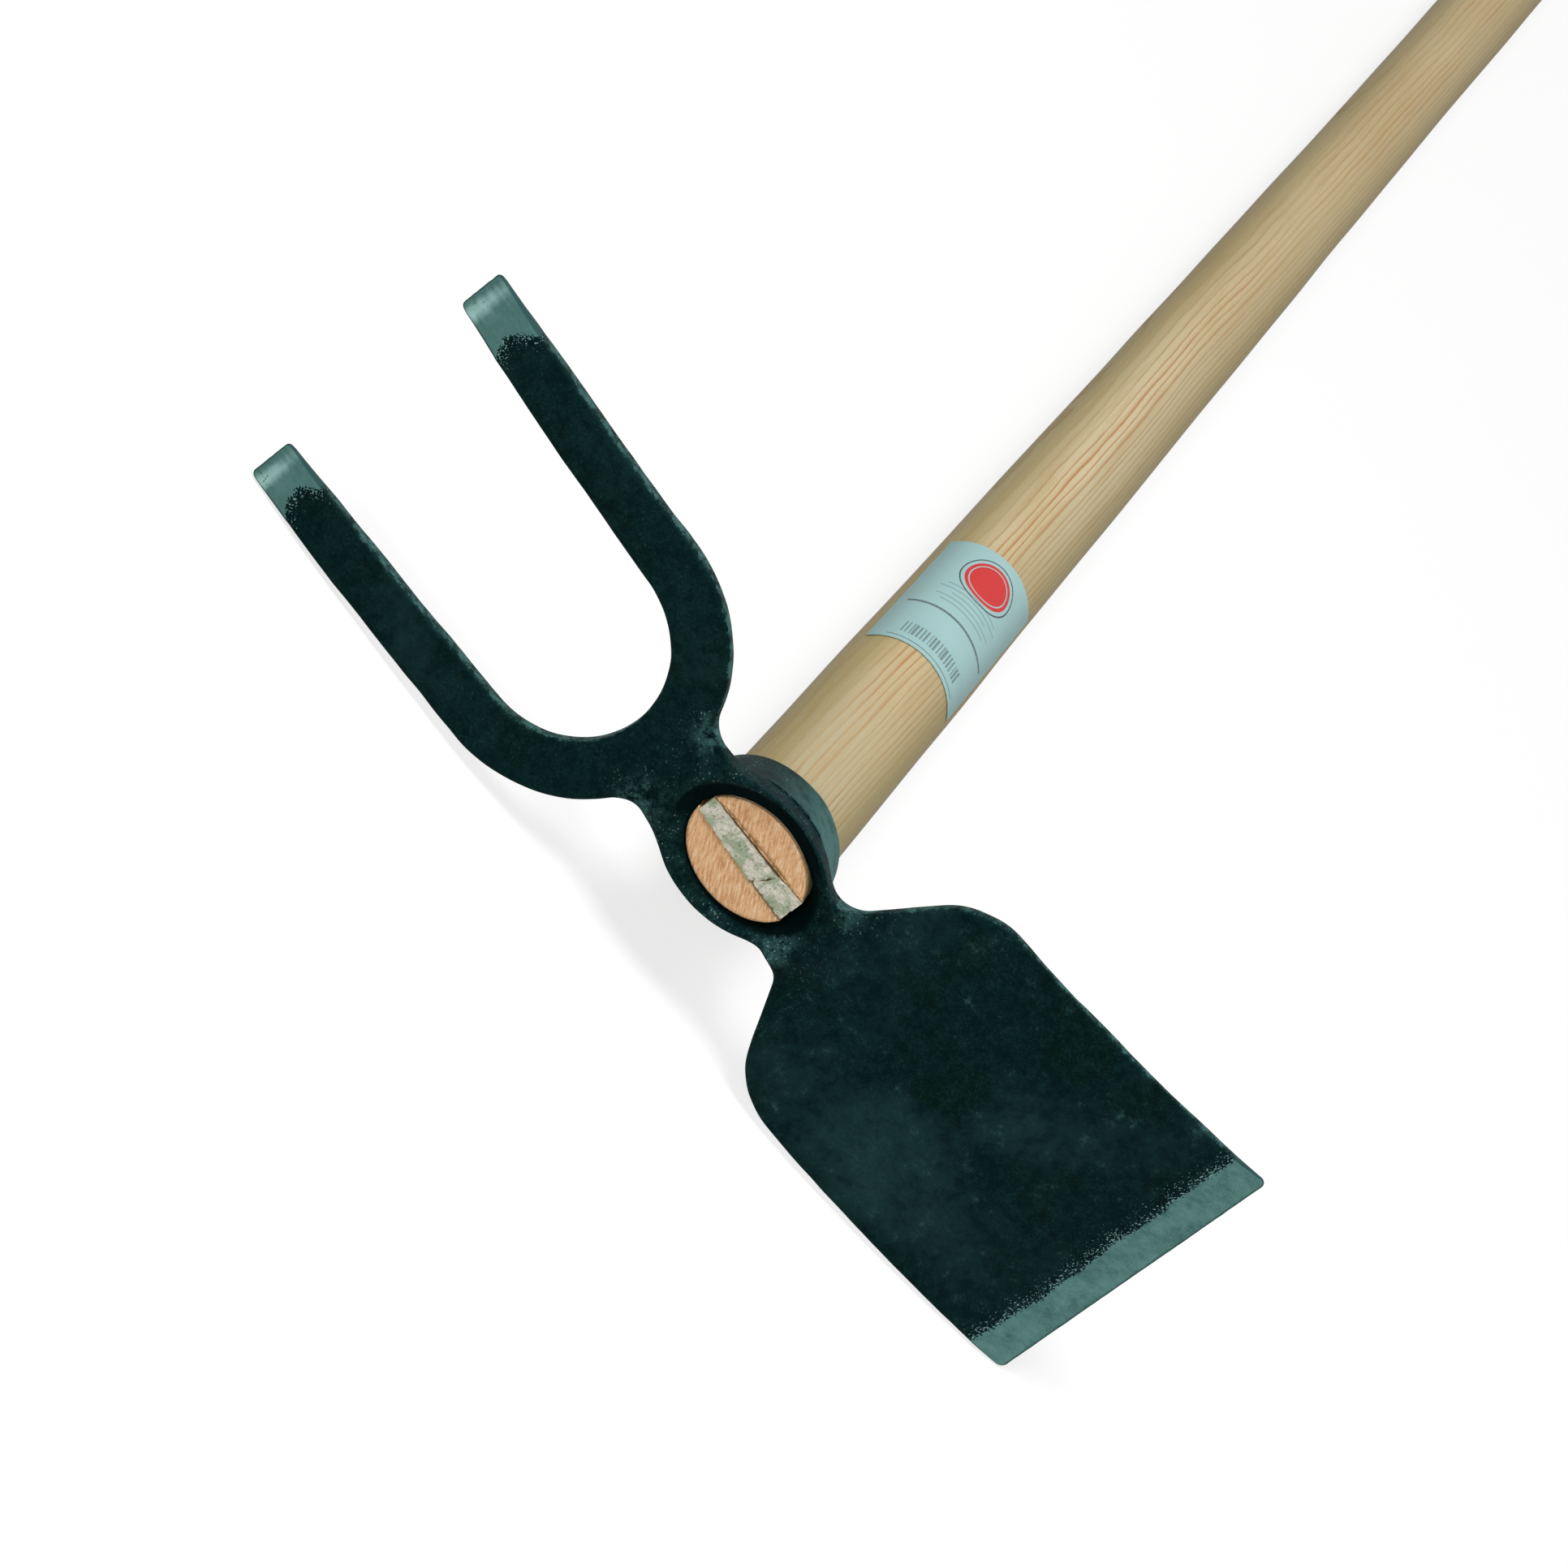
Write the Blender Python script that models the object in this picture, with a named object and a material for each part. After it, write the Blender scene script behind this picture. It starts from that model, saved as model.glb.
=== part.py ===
"""Combination hoe: one forged head with a blade and a two-tine fork, on a wedged ash handle.

While it is modelled, X runs from the fork to the blade, Y from the face of the eye along
the handle, and Z across the head. lay_down() then turns the whole tool onto its side.
Lengths are in metres.
"""
import math

import bmesh
import bpy
import numpy as np
from mathutils import Matrix, Vector

# Eye and collar of the head
EYE_CENTRE = -0.0012          # middle of the collar along X
FACE_HALF_X = 0.0283          # oval front face of the eye
FACE_HALF_Z = 0.0208
COLLAR_HALF_X = 0.0236        # oval rear rim of the collar
COLLAR_HALF_Z = 0.0199
COLLAR_DEPTH = 0.0220         # how far the collar stands behind the end of the handle
COLLAR_TAPER = 0.0015         # how much the collar widens towards its root
RIM_ROUND = 0.0009
DISH_DEPTH = 0.0036           # hollow of the front face, from its lip to the hole
DISH_WIDTH = 0.0058
DISH_INNER = 0.0010           # the hole's front edge lies this far behind the handle's end
LIP_FADE = 0.0090             # run of the lip out onto the necks
MOUTH_FLARE = 0.0054          # the hole opens towards the blade at its front
MOUTH_DEPTH = 0.0070
EYE_CLEARANCE = 0.0003        # wood to steel all round

# Necks and plates of the head
NECK_THICKNESS = 0.0046
FILLET_REACH = 0.0125         # blend from the collar down onto the necks
NECK_BLEND = 0.0030           # rounding where the oval face runs into the necks
NECK_THIN_START = 0.026
NECK_THIN_RUN = 0.052
BEND_START = 0.024            # blade and fork are straight up to here, then curve back
BLADE_BEND_RADIUS = 0.414
FORK_BEND_RADIUS = 1.050
EDGE_ROUND = 0.0011           # rounding of every plate edge
EDGE_ROUND_SHARE = 0.35       # at most this share of the plate's thickness
LIP_ROUND = 0.0006            # sharper round the lip of the eye
REAR_LIP_SHARE = 0.4          # behind the lip, at most this share of the ledge beside the collar
REAR_LIP_LEAST = 0.0001

# Blade
BLADE_NECK_HALF = 0.0136
BLADE_NECK_END = 0.0245
BLADE_NECK_FILLET = 0.0095
BLADE_SLOPE_DEG = 59.9        # direction of the flank between neck and shoulder
BLADE_NECK_CORNER = 0.02935
BLADE_SHOULDER_HALF = 0.0479
BLADE_SHOULDER_RADIUS = 0.025
BLADE_REACH = 0.1604
BLADE_EDGE_HALF = 0.0498
BLADE_CORNER_RADIUS = 0.0022
BLADE_THICKNESS = 0.0028
BLADE_EDGE_THICKNESS = 0.0009
GRIND_WIDTH = 0.0125          # ground strip behind the cutting edge

# Fork
FORK_NECK_HALF = 0.0156
FORK_NECK_END = 0.0266
FORK_NECK_FILLET = 0.0100
FORK_OUTER_RADIUS = 0.0463
FORK_INNER_RADIUS = 0.0292
FORK_CENTRE = 0.0775          # centre of the bend between the tines
FORK_REACH = 0.1672
TINE_OUTER_HALF = 0.0485      # outer and inner edge of a tine at its tip
TINE_INNER_HALF = 0.0333
TINE_CORNER_RADIUS = 0.0016
TINE_THICKNESS = 0.0046
TINE_TIP_THICKNESS = 0.0018
TINE_TIP_RUN = 0.024

# Handle
HANDLE_LENGTH = 1.300
GRIP_RADIUS = 0.0152
HANDLE_HALF_X = 0.0197        # oval section at the eye
HANDLE_HALF_Z = 0.0167
HANDLE_TAPER_RUN = 0.800
HANDLE_TAPER_POWER = 1.15
TENON_SQUEEZE = 0.0016        # the end is slimmer across the head
TENON_RUN = 0.024
TENON_CHAMFER = 0.0007
GRIP_END_ROUND = 0.0090
GRIP_END_FLAT = 0.0080        # radius of the flat disc at the far end

# Wedge, in two pieces where it has cracked through
WEDGE_PROUD = 0.0004
WEDGE_DEPTH = 0.024
WEDGE_END_SCALE = 0.25        # thickness at its hidden end, of that at its face
WEDGE_LOW_X, WEDGE_HIGH_X = -0.0184, 0.0188
WEDGE_LOW_Z = (-0.0011, 0.0050)    # both edges at the fork end
WEDGE_CRACK_Z = (-0.0031, 0.0044)  # both edges at the crack
WEDGE_HIGH_Z = (-0.0038, 0.0047)   # both edges at the blade end
CRACK_X = (0.0056, 0.0092)         # where the crack meets the two edges
CRACK_GAP = 0.0004
CRACK_STEP = 0.0006           # the broken piece has slipped sideways
KERF_CLEARANCE = 0.0003       # wedge to wood, also beside the piece that has slipped
KERF_SIDE_RUN = 0.006         # the kerf runs out of both sides of the wood
KERF_OVERCUT = 0.0010         # and out of its end
KERF_BOTTOM_GAP = 0.0015

# Label wrapped on the handle
LABEL_START = 0.143
LABEL_LENGTH = 0.091
LABEL_MIDDLE_DEG = 95.5       # about the handle's axis, from +X towards +Z
LABEL_WRAP_DEG = 124.0
LABEL_THICKNESS = 0.0004
LABEL_SEAT = 0.0003

# How finely the surfaces are divided
NECK_COLUMNS = 5
SIDE_COLUMNS = 14
FACE_ROWS = 6
COLLAR_ROWS = 8
FILLET_ROWS = 5
FLANK_ROWS = 3
SHOULDER_ROWS = 7
BLADE_ROWS = 6
FORK_BEND_ROWS = 12
FORK_CROTCH_ROWS = 2
TINE_ROWS = 8
GRIND_ROWS = 2
CORNER_ROWS = 2
MOUTH_ROWS = 3
HOLE_ROWS = 3
PROFILE_SAMPLES = 40
MIDDLE_EASING = 1.35          # rows on the blade's middle line start close together
FRONT_CURVE = 2.0             # how the blade's rows bow towards the eye, in front and behind
REAR_CURVE = 1.6
HANDLE_SIDES = 48
TENON_RINGS = 3
TAPER_RINGS = 11
GRIP_RINGS = 3
GRIP_END_TURNS_DEG = (30.0, 60.0, 90.0)
LABEL_SIDES = 28
LABEL_ROWS = 10
MERGE = 0.00001

BLADE_COLLAR_DEG = 35.0       # collar directions between which it stands free of the necks
FORK_COLLAR_DEG = 140.0


def clear_scene():
    for item in list(bpy.data.objects):
        bpy.data.objects.remove(item, do_unlink=True)


def make_material(name, colour, roughness, metallic=0.0):
    material = bpy.data.materials.new(name)
    material.use_nodes = True
    shader = material.node_tree.nodes["Principled BSDF"]
    shader.inputs["Base Color"].default_value = (*colour, 1.0)
    shader.inputs["Roughness"].default_value = roughness
    shader.inputs["Metallic"].default_value = metallic
    return material


def make_object(name, bm, material, sharp_deg=40.0):
    """Turn a bmesh into a smooth-shaded object whose faces all look outwards."""
    bmesh.ops.remove_doubles(bm, verts=bm.verts, dist=MERGE)
    bmesh.ops.recalc_face_normals(bm, faces=bm.faces)
    mesh = bpy.data.meshes.new(name)
    bm.to_mesh(mesh)
    bm.free()
    mesh.shade_smooth()
    mesh.set_sharp_from_angle(angle=math.radians(sharp_deg))
    mesh.materials.append(material)
    item = bpy.data.objects.new(name, mesh)
    bpy.context.collection.objects.link(item)
    return item


def add_grid(bm, points, wrap=False):
    """Add quads over a grid of points; wrap joins its last column to its first."""
    rows = [[bm.verts.new(p) for p in row] for row in points]
    for lower, upper in zip(rows, rows[1:]):
        count = len(lower) if wrap else len(lower) - 1
        for i in range(count):
            j = (i + 1) % len(lower)
            bm.faces.new((lower[i], lower[j], upper[j], upper[i]))
    return rows


def smooth_step(value):
    value = np.clip(value, 0.0, 1.0)
    return value * value * (3.0 - 2.0 * value)


def smooth_max(a, b, width):
    share = np.clip(0.5 + 0.5 * (a - b) / width, 0.0, 1.0)
    return b + (a - b) * share + width * share * (1.0 - share)


def arc(centre, radius, start_deg, end_deg, steps):
    angles = np.radians(np.linspace(start_deg, end_deg, steps + 1))
    return np.stack([centre[0] + radius * np.cos(angles), centre[1] + radius * np.sin(angles)], 1)


def line(start, end, steps):
    return np.linspace(start, end, steps + 1)


def join_paths(*paths):
    """Chain paths, leaving out each later path's first point, which the one before holds."""
    return np.concatenate([paths[0]] + [path[1:] for path in paths[1:]])


# Section of the handle and of the hole that it fills

def tenon_half_sizes(y):
    """Half sizes of the oval section, X and Z, at distance y from the end in the eye."""
    share = np.clip(1.0 - y / HANDLE_TAPER_RUN, 0.0, 1.0) ** HANDLE_TAPER_POWER
    squeeze = TENON_SQUEEZE * np.clip(1.0 - y / TENON_RUN, 0.0, 1.0) ** 2
    half_x = GRIP_RADIUS + (HANDLE_HALF_X - GRIP_RADIUS) * share
    half_z = GRIP_RADIUS + (HANDLE_HALF_Z - GRIP_RADIUS) * share - squeeze
    return half_x, half_z


def hole_outline(y, angles):
    """Outline of the hole at depth y: it fits the wood, and its mouth flares to the blade."""
    half_x, half_z = tenon_half_sizes(y)
    flare = MOUTH_FLARE * np.clip(1.0 - y / MOUTH_DEPTH, 0.0, 1.0) ** 2
    x = (half_x + EYE_CLEARANCE) * np.cos(angles) + flare * np.maximum(np.cos(angles), 0.0) ** 2
    return np.stack([x, (half_z + EYE_CLEARANCE) * np.sin(angles)], -1)


# Front and rear surface of the forged head, as heights along Y

def bend(x):
    """How far the plates have curved back at x: a flat arc on each side of the eye."""
    run = np.maximum(np.abs(x) - BEND_START, 0.0)
    radius = np.where(x > 0, BLADE_BEND_RADIUS, FORK_BEND_RADIUS)
    return run * run / (2.0 * radius)


def oval_distance(x, z, centre, half_x, half_z):
    """Distance outside an oval, measured along the ray from its centre."""
    scale = np.sqrt(((x - centre) / half_x) ** 2 + (z / half_z) ** 2)
    return np.hypot(x - centre, z) * (1.0 - 1.0 / np.maximum(scale, 1e-6))


def tip_chisel(x):
    """How much each face of a tine draws in towards its chisel tip."""
    share = (-x - (FORK_REACH - TINE_TIP_RUN)) / TINE_TIP_RUN
    return 0.5 * (TINE_THICKNESS - TINE_TIP_THICKNESS) * smooth_step(share)


def front_height(x, z):
    """Front surface: the dish sinks from its lip to the hole, the plates lie level with the hole."""
    mouth = hole_outline(DISH_INNER, np.radians([0.0, 90.0, 180.0]))
    half_x = (mouth[0, 0] - mouth[2, 0]) / 2.0
    away = oval_distance(x, z, mouth[0, 0] - half_x, half_x, mouth[1, 1])
    dish = DISH_INNER - DISH_DEPTH * np.clip(away / DISH_WIDTH, 0.0, 1.0)
    lip = (DISH_DEPTH - DISH_INNER) * smooth_step((away - DISH_WIDTH) / LIP_FADE)
    grind = (x - (BLADE_REACH - GRIND_WIDTH)) / GRIND_WIDTH
    bevel = (BLADE_THICKNESS - BLADE_EDGE_THICKNESS) * np.clip(grind, 0.0, 1.0)
    return bend(x) + dish + lip + bevel + tip_chisel(x)


def plate_rear(x):
    """Rear of the plates: thick at the necks, thinner towards the blade and the tines."""
    plate = np.where(x > 0, BLADE_THICKNESS, TINE_THICKNESS)
    thin = smooth_step((np.abs(x) - NECK_THIN_START) / NECK_THIN_RUN)
    return bend(x) + NECK_THICKNESS + (plate - NECK_THICKNESS) * thin - tip_chisel(x)


def rear_height(x, z, across):
    """Rear surface outside the collar, with the round blend up to it.

    across is 0 on the middle line of a neck and 1 at its edge, where the blend ends.
    """
    root_x, root_z = COLLAR_HALF_X + COLLAR_TAPER, COLLAR_HALF_Z + COLLAR_TAPER
    away = oval_distance(x, z, EYE_CENTRE, root_x, root_z)
    left = 1.0 - np.clip(away / FILLET_REACH, 0.0, 1.0)
    fillet = FILLET_REACH * (1.0 - np.sqrt(1.0 - left * left))
    return plate_rear(x) + fillet * (1.0 - across * across)


# Outline of the head, as half widths over X and Z

def face_half_width(x):
    """Half width of the oval face and the two necks that leave it."""
    oval = FACE_HALF_Z * np.sqrt(np.clip(1.0 - ((x - EYE_CENTRE) / FACE_HALF_X) ** 2, 0.0, 1.0))
    neck = np.where(x > 0, BLADE_NECK_HALF, FORK_NECK_HALF)
    return smooth_max(oval, neck, NECK_BLEND)


def blade_outline():
    """Neck fillet, sloping flank, round shoulder, straight side and corner of the blade."""
    slope = math.radians(BLADE_SLOPE_DEG)
    along = np.array([math.cos(slope), math.sin(slope)])
    side_deg = math.degrees(math.atan2(BLADE_EDGE_HALF - BLADE_SHOULDER_HALF,
                                       BLADE_REACH - BLADE_SHOULDER_RADIUS - BLADE_NECK_CORNER))
    neck_cut = BLADE_NECK_FILLET * math.tan(slope / 2.0)
    rise = BLADE_SHOULDER_HALF - BLADE_NECK_HALF
    corner = np.array([BLADE_NECK_CORNER + rise / math.tan(slope), BLADE_SHOULDER_HALF])
    turn = slope - math.radians(side_deg)
    shoulder_cut = BLADE_SHOULDER_RADIUS * math.tan(turn / 2.0)
    fillet_start = BLADE_NECK_CORNER - neck_cut
    fillet = arc((fillet_start, BLADE_NECK_HALF + BLADE_NECK_FILLET), BLADE_NECK_FILLET,
                 -90.0, BLADE_SLOPE_DEG - 90.0, FILLET_ROWS)
    fillet[0] = (BLADE_NECK_END, face_half_width(BLADE_NECK_END))
    shoulder_start = corner - along * shoulder_cut
    middle = shoulder_start + BLADE_SHOULDER_RADIUS * np.array([along[1], -along[0]])
    shoulder = arc(middle, BLADE_SHOULDER_RADIUS, BLADE_SLOPE_DEG + 90.0, side_deg + 90.0,
                   SHOULDER_ROWS)
    side_fall = GRIND_WIDTH * math.tan(math.radians(side_deg))
    side_end = (BLADE_REACH - GRIND_WIDTH, BLADE_EDGE_HALF - side_fall)
    corner_start = (BLADE_REACH - BLADE_CORNER_RADIUS, BLADE_EDGE_HALF)
    corner_arc = arc((corner_start[0], BLADE_EDGE_HALF - BLADE_CORNER_RADIUS), BLADE_CORNER_RADIUS,
                     90.0, 0.0, CORNER_ROWS)
    return join_paths(fillet, line(fillet[-1], shoulder_start, FLANK_ROWS), shoulder,
                      line(shoulder[-1], side_end, BLADE_ROWS),
                      line(side_end, corner_start, GRIND_ROWS), corner_arc)


def fork_outlines():
    """Outer and inner edge of one arm of the fork, from the neck to the tip of the tine."""
    fillet_z = FORK_NECK_HALF + FORK_NECK_FILLET
    reach = FORK_OUTER_RADIUS + FORK_NECK_FILLET
    lean = math.degrees(math.asin(fillet_z / reach))
    fillet_x = -FORK_CENTRE + reach * math.cos(math.radians(lean))
    fillet = arc((fillet_x, fillet_z), FORK_NECK_FILLET, -90.0, lean - 180.0, FILLET_ROWS)
    fillet[0] = (-FORK_NECK_END, face_half_width(-FORK_NECK_END))
    outer_bend = arc((-FORK_CENTRE, 0.0), FORK_OUTER_RADIUS, lean, 90.0, FORK_BEND_ROWS)
    outer_tip = np.array([-FORK_REACH + TINE_CORNER_RADIUS, TINE_OUTER_HALF])
    corner = arc((outer_tip[0], TINE_OUTER_HALF - TINE_CORNER_RADIUS), TINE_CORNER_RADIUS,
                 90.0, 180.0, CORNER_ROWS)
    outer = join_paths(fillet, outer_bend, line(outer_bend[-1], outer_tip, TINE_ROWS), corner)
    rows_to_crotch = FILLET_ROWS + FORK_CROTCH_ROWS
    crotch = (-FORK_CENTRE + FORK_INNER_RADIUS, 0.0)
    middle = line((-FORK_NECK_END, 0.0), crotch, rows_to_crotch)
    inner_bend = arc((-FORK_CENTRE, 0.0), FORK_INNER_RADIUS, 0.0, 90.0,
                     FORK_BEND_ROWS - FORK_CROTCH_ROWS)
    inner_tip = np.array([-FORK_REACH + TINE_CORNER_RADIUS, TINE_INNER_HALF])
    inner_corner = arc((inner_tip[0], TINE_INNER_HALF + TINE_CORNER_RADIUS), TINE_CORNER_RADIUS,
                       -90.0, -180.0, CORNER_ROWS)
    inner = join_paths(middle, inner_bend, line(inner_bend[-1], inner_tip, TINE_ROWS), inner_corner)
    return outer, inner


def collar_angles():
    """Directions of the columns round half of the eye, from the blade to the fork."""
    neck = np.linspace(0.0, BLADE_COLLAR_DEG, NECK_COLUMNS + 1)
    free = np.linspace(BLADE_COLLAR_DEG, FORK_COLLAR_DEG, SIDE_COLUMNS + 1)
    fork = np.linspace(FORK_COLLAR_DEG, 180.0, NECK_COLUMNS + 1)
    return np.radians(join_paths(neck, free, fork))


def face_outline(angles):
    """Where each column round the eye ends on the outline between the two necks."""
    blade, fork = math.radians(BLADE_COLLAR_DEG), math.radians(FORK_COLLAR_DEG)
    quarter = math.pi / 2.0
    rim_x = EYE_CENTRE + COLLAR_HALF_X * np.cos(angles)
    to_blade = np.clip((quarter - angles) / (quarter - blade), 0.0, 1.0) ** 2
    to_fork = np.clip((angles - quarter) / (fork - quarter), 0.0, 1.0) ** 2
    blade_shift = BLADE_NECK_END - (EYE_CENTRE + COLLAR_HALF_X * math.cos(blade))
    fork_shift = -FORK_NECK_END - (EYE_CENTRE + COLLAR_HALF_X * math.cos(fork))
    x = rim_x + blade_shift * to_blade + fork_shift * to_fork
    return np.stack([x, face_half_width(x)], 1)


def inset(path, distances):
    """Move an open path to its right-hand side, square to its own direction."""
    before = np.vstack([path[:1], path[:-1]])
    after = np.vstack([path[1:], path[-1:]])
    ahead = after - before
    ahead /= np.linalg.norm(ahead, axis=1)[:, None]
    return path + np.stack([ahead[:, 1], -ahead[:, 0]], 1) * distances[:, None]


def edge_rounding(x):
    """Rounding of a plate's edge, smaller where the plate is thin."""
    thickness = plate_rear(x) - front_height(x, np.full_like(x, BLADE_EDGE_HALF))
    return np.minimum(EDGE_ROUND, EDGE_ROUND_SHARE * thickness)


def lip_rounding(x):
    """Rounding along the eye's face: sharp at its middle, as the plates' at the necks."""
    run = np.where(x > 0, BLADE_NECK_END, FORK_NECK_END)
    return LIP_ROUND + (EDGE_ROUND - LIP_ROUND) * smooth_step(np.abs(x) / run)


def half_outline():
    """The head's outline over its upper half, from the blade's edge to the fork's crotch.

    Returns the path and the places on it where the blade's edge, the blade, the eye's face,
    the arm's outer side and the tine's end are over.
    """
    blade = blade_outline()
    outer, inner = fork_outlines()
    angles = collar_angles()[NECK_COLUMNS:-NECK_COLUMNS]
    face = face_outline(angles)
    blade_edge = line((BLADE_REACH, 0.0), blade[-1], NECK_COLUMNS)
    tine_edge = line(outer[-1], inner[-1], NECK_COLUMNS)
    rows_to_crotch = FILLET_ROWS + FORK_CROTCH_ROWS
    inner_back = inner[rows_to_crotch:][::-1]
    path = join_paths(blade_edge, blade[::-1], face, outer, tine_edge, inner_back)
    counts = np.cumsum([NECK_COLUMNS, len(blade) - 1, len(face) - 1, len(outer) - 1, NECK_COLUMNS])
    return path, counts


def closed_inset(path, distances):
    """Inset of the half outline, whose two ends lie on the middle line and stay there."""
    mirrored = np.vstack([path[1] * (1, -1), path, path[-2] * (1, -1)])
    padded = np.concatenate([distances[:1], distances, distances[-1:]])
    moved = inset(mirrored, -padded)[1:-1]
    moved[0, 1] = 0.0
    moved[-1, 1] = 0.0
    return moved


def spread(start, finish, columns, curve=1.0):
    """Rows of points between two paths; the X share follows a power of the column."""
    share = np.linspace(0.0, 1.0, columns + 1)
    x = start[:, None, 0] + (finish[:, None, 0] - start[:, None, 0]) * share[None, :] ** curve
    z = start[:, None, 1] + (finish[:, None, 1] - start[:, None, 1]) * share[None, :]
    return np.stack([x, z], 2)


def blade_rows(edge, first_x):
    """Rows of the blade between its middle line and its outline."""
    rows = len(edge)
    settled = FILLET_ROWS + FLANK_ROWS + SHOULDER_ROWS
    easing = np.linspace(0.0, 1.0, settled + 1) ** MIDDLE_EASING
    middle_x = edge[:, 0].copy()
    middle_x[:settled + 1] = first_x + (edge[settled, 0] - first_x) * easing
    middle_x[rows - CORNER_ROWS - 1:] = np.linspace(middle_x[rows - CORNER_ROWS - 2], edge[-1, 0],
                                                    CORNER_ROWS + 2)[1:]
    middle = np.stack([middle_x, np.zeros(rows)], 1)
    return spread(middle, edge, NECK_COLUMNS, FRONT_CURVE if first_x > BLADE_NECK_END else REAR_CURVE)


def mirror_points(points):
    return points * np.array([1.0, 1.0, -1.0])


def with_heights(plan, heights):
    return np.stack([plan[..., 0], heights, plan[..., 1]], -1)


def collar_profile(rim, base, end, across):
    """Points down the collar wall and out over its blend, evenly spaced along their curve."""
    wall = np.linspace(rim, base, PROFILE_SAMPLES)
    run = np.linspace(0.0, 1.0, PROFILE_SAMPLES)[:, None] ** 2
    floor = base + (end - base) * run
    top = COLLAR_DEPTH - RIM_ROUND
    foot = rear_height(base[0], base[1], across)
    heights = np.concatenate([np.linspace(top, foot, PROFILE_SAMPLES),
                              rear_height(floor[:, 0], floor[:, 1], across)])
    curve = with_heights(np.vstack([wall, floor]), heights)
    steps = np.linalg.norm(np.diff(curve, axis=0), axis=1)
    length = np.concatenate([[0.0], np.cumsum(steps)])
    wanted = np.linspace(0.0, length[-1], COLLAR_ROWS + 1)
    return np.stack([np.interp(wanted, length, curve[:, axis]) for axis in range(3)], 1)


def eye_rear_grid(angles, ends):
    """Rear of the eye: flat rim, rounded edge, collar wall and blend, one column a ray."""
    columns = []
    holes = hole_outline(COLLAR_DEPTH, angles)
    for number, (angle, hole, end) in enumerate(zip(angles, holes, ends)):
        ray = np.array([math.cos(angle), math.sin(angle)])
        rim = ray * (COLLAR_HALF_X, COLLAR_HALF_Z) + (EYE_CENTRE, 0.0)
        base = rim + ray * COLLAR_TAPER
        across = min(1.0, min(number, len(angles) - 1 - number) / NECK_COLUMNS)
        wide = np.linalg.norm(rim - hole)
        shares = np.array([0.0, RIM_ROUND / wide, 1.0 - RIM_ROUND / wide])
        top = hole + (rim - hole) * shares[:, None]
        heights = np.array([COLLAR_DEPTH - RIM_ROUND, COLLAR_DEPTH, COLLAR_DEPTH])
        profile = collar_profile(rim, base, end, across)
        columns.append(np.vstack([with_heights(top, heights), profile]))
    return np.array(columns)


def eye_front_grid(angles, ends):
    """Front of the eye: dished face from the hole out to the lip and the necks."""
    plan = spread(hole_outline(DISH_INNER, angles), ends, FACE_ROWS)
    return with_heights(plan, front_height(plan[..., 0], plan[..., 1]))


def hole_wall(angles, mouth, rim):
    """Wall of the hole from its flared mouth to the rear rim."""
    depths = np.concatenate([np.linspace(DISH_INNER, MOUTH_DEPTH, MOUTH_ROWS + 1)[1:],
                             np.linspace(MOUTH_DEPTH, COLLAR_DEPTH, HOLE_ROWS + 1)[1:-1]])
    rows = [with_heights(hole_outline(depth, angles), np.full_like(angles, depth))
            for depth in depths]
    return np.array([mouth, *rows, rim])


def add_mirrored(bm, points):
    """Add a grid and its mirror image in the middle plane of the head."""
    add_grid(bm, points)
    add_grid(bm, mirror_points(points))


def lip_ledge(face):
    """Width of the ledge between the collar's root and the eye's outline."""
    angles = collar_angles()[NECK_COLUMNS:-NECK_COLUMNS]
    root = np.stack([EYE_CENTRE + (COLLAR_HALF_X + COLLAR_TAPER) * np.cos(angles),
                     (COLLAR_HALF_Z + COLLAR_TAPER) * np.sin(angles)], 1)
    return np.linalg.norm(face - root, axis=1)


def fork_rows(edge, counts, neck_start):
    """Rows of one arm of the fork between its inner side and its outer side."""
    rows_to_crotch = FILLET_ROWS + FORK_CROTCH_ROWS
    middle = line((neck_start, 0.0), (edge[-1, 0], 0.0), rows_to_crotch)
    inner = np.vstack([middle[:-1], edge[counts[4]:][::-1]])
    plan = spread(inner, edge[counts[2]:counts[3] + 1], NECK_COLUMNS)
    plan[-1] = edge[counts[3]:counts[4] + 1][::-1]
    return plan


def head_plans(edge, counts, lip_run):
    """Plan of one surface inside its edge: where the eye's columns end, the blade, the fork."""
    blade = blade_rows(edge[counts[0]:counts[1] + 1][::-1], BLADE_NECK_END + lip_run)
    blade[-1] = edge[:counts[0] + 1]
    fork = fork_rows(edge, counts, -FORK_NECK_END - lip_run)
    ends = np.vstack([blade[0], edge[counts[1] + 1:counts[2]], fork[0][::-1]])
    return ends, blade, fork


def add_front(bm, edge, counts):
    """Add the front surface; returns the hole's front edge and the outline's front line."""
    ends, blade, fork = head_plans(edge, counts, DISH_WIDTH)
    eye = eye_front_grid(collar_angles(), ends)
    add_mirrored(bm, eye)
    for plan in (blade, fork):
        add_mirrored(bm, with_heights(plan, front_height(plan[..., 0], plan[..., 1])))
    return eye[:, 0], with_heights(edge, front_height(edge[:, 0], edge[:, 1]))


def add_rear(bm, edge, counts):
    """Add the rear surface; returns the hole's rear edge and the outline's rear line."""
    ends, blade, fork = head_plans(edge, counts, 0.0)
    eye = eye_rear_grid(collar_angles(), ends)
    add_mirrored(bm, eye)
    across = np.linspace(0.0, 1.0, NECK_COLUMNS + 1)[None, :]
    for plan in (blade, fork):
        add_mirrored(bm, with_heights(plan, rear_height(plan[..., 0], plan[..., 1], across)))
    return eye[:, 0], with_heights(edge, plate_rear(edge[:, 0]))


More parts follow.
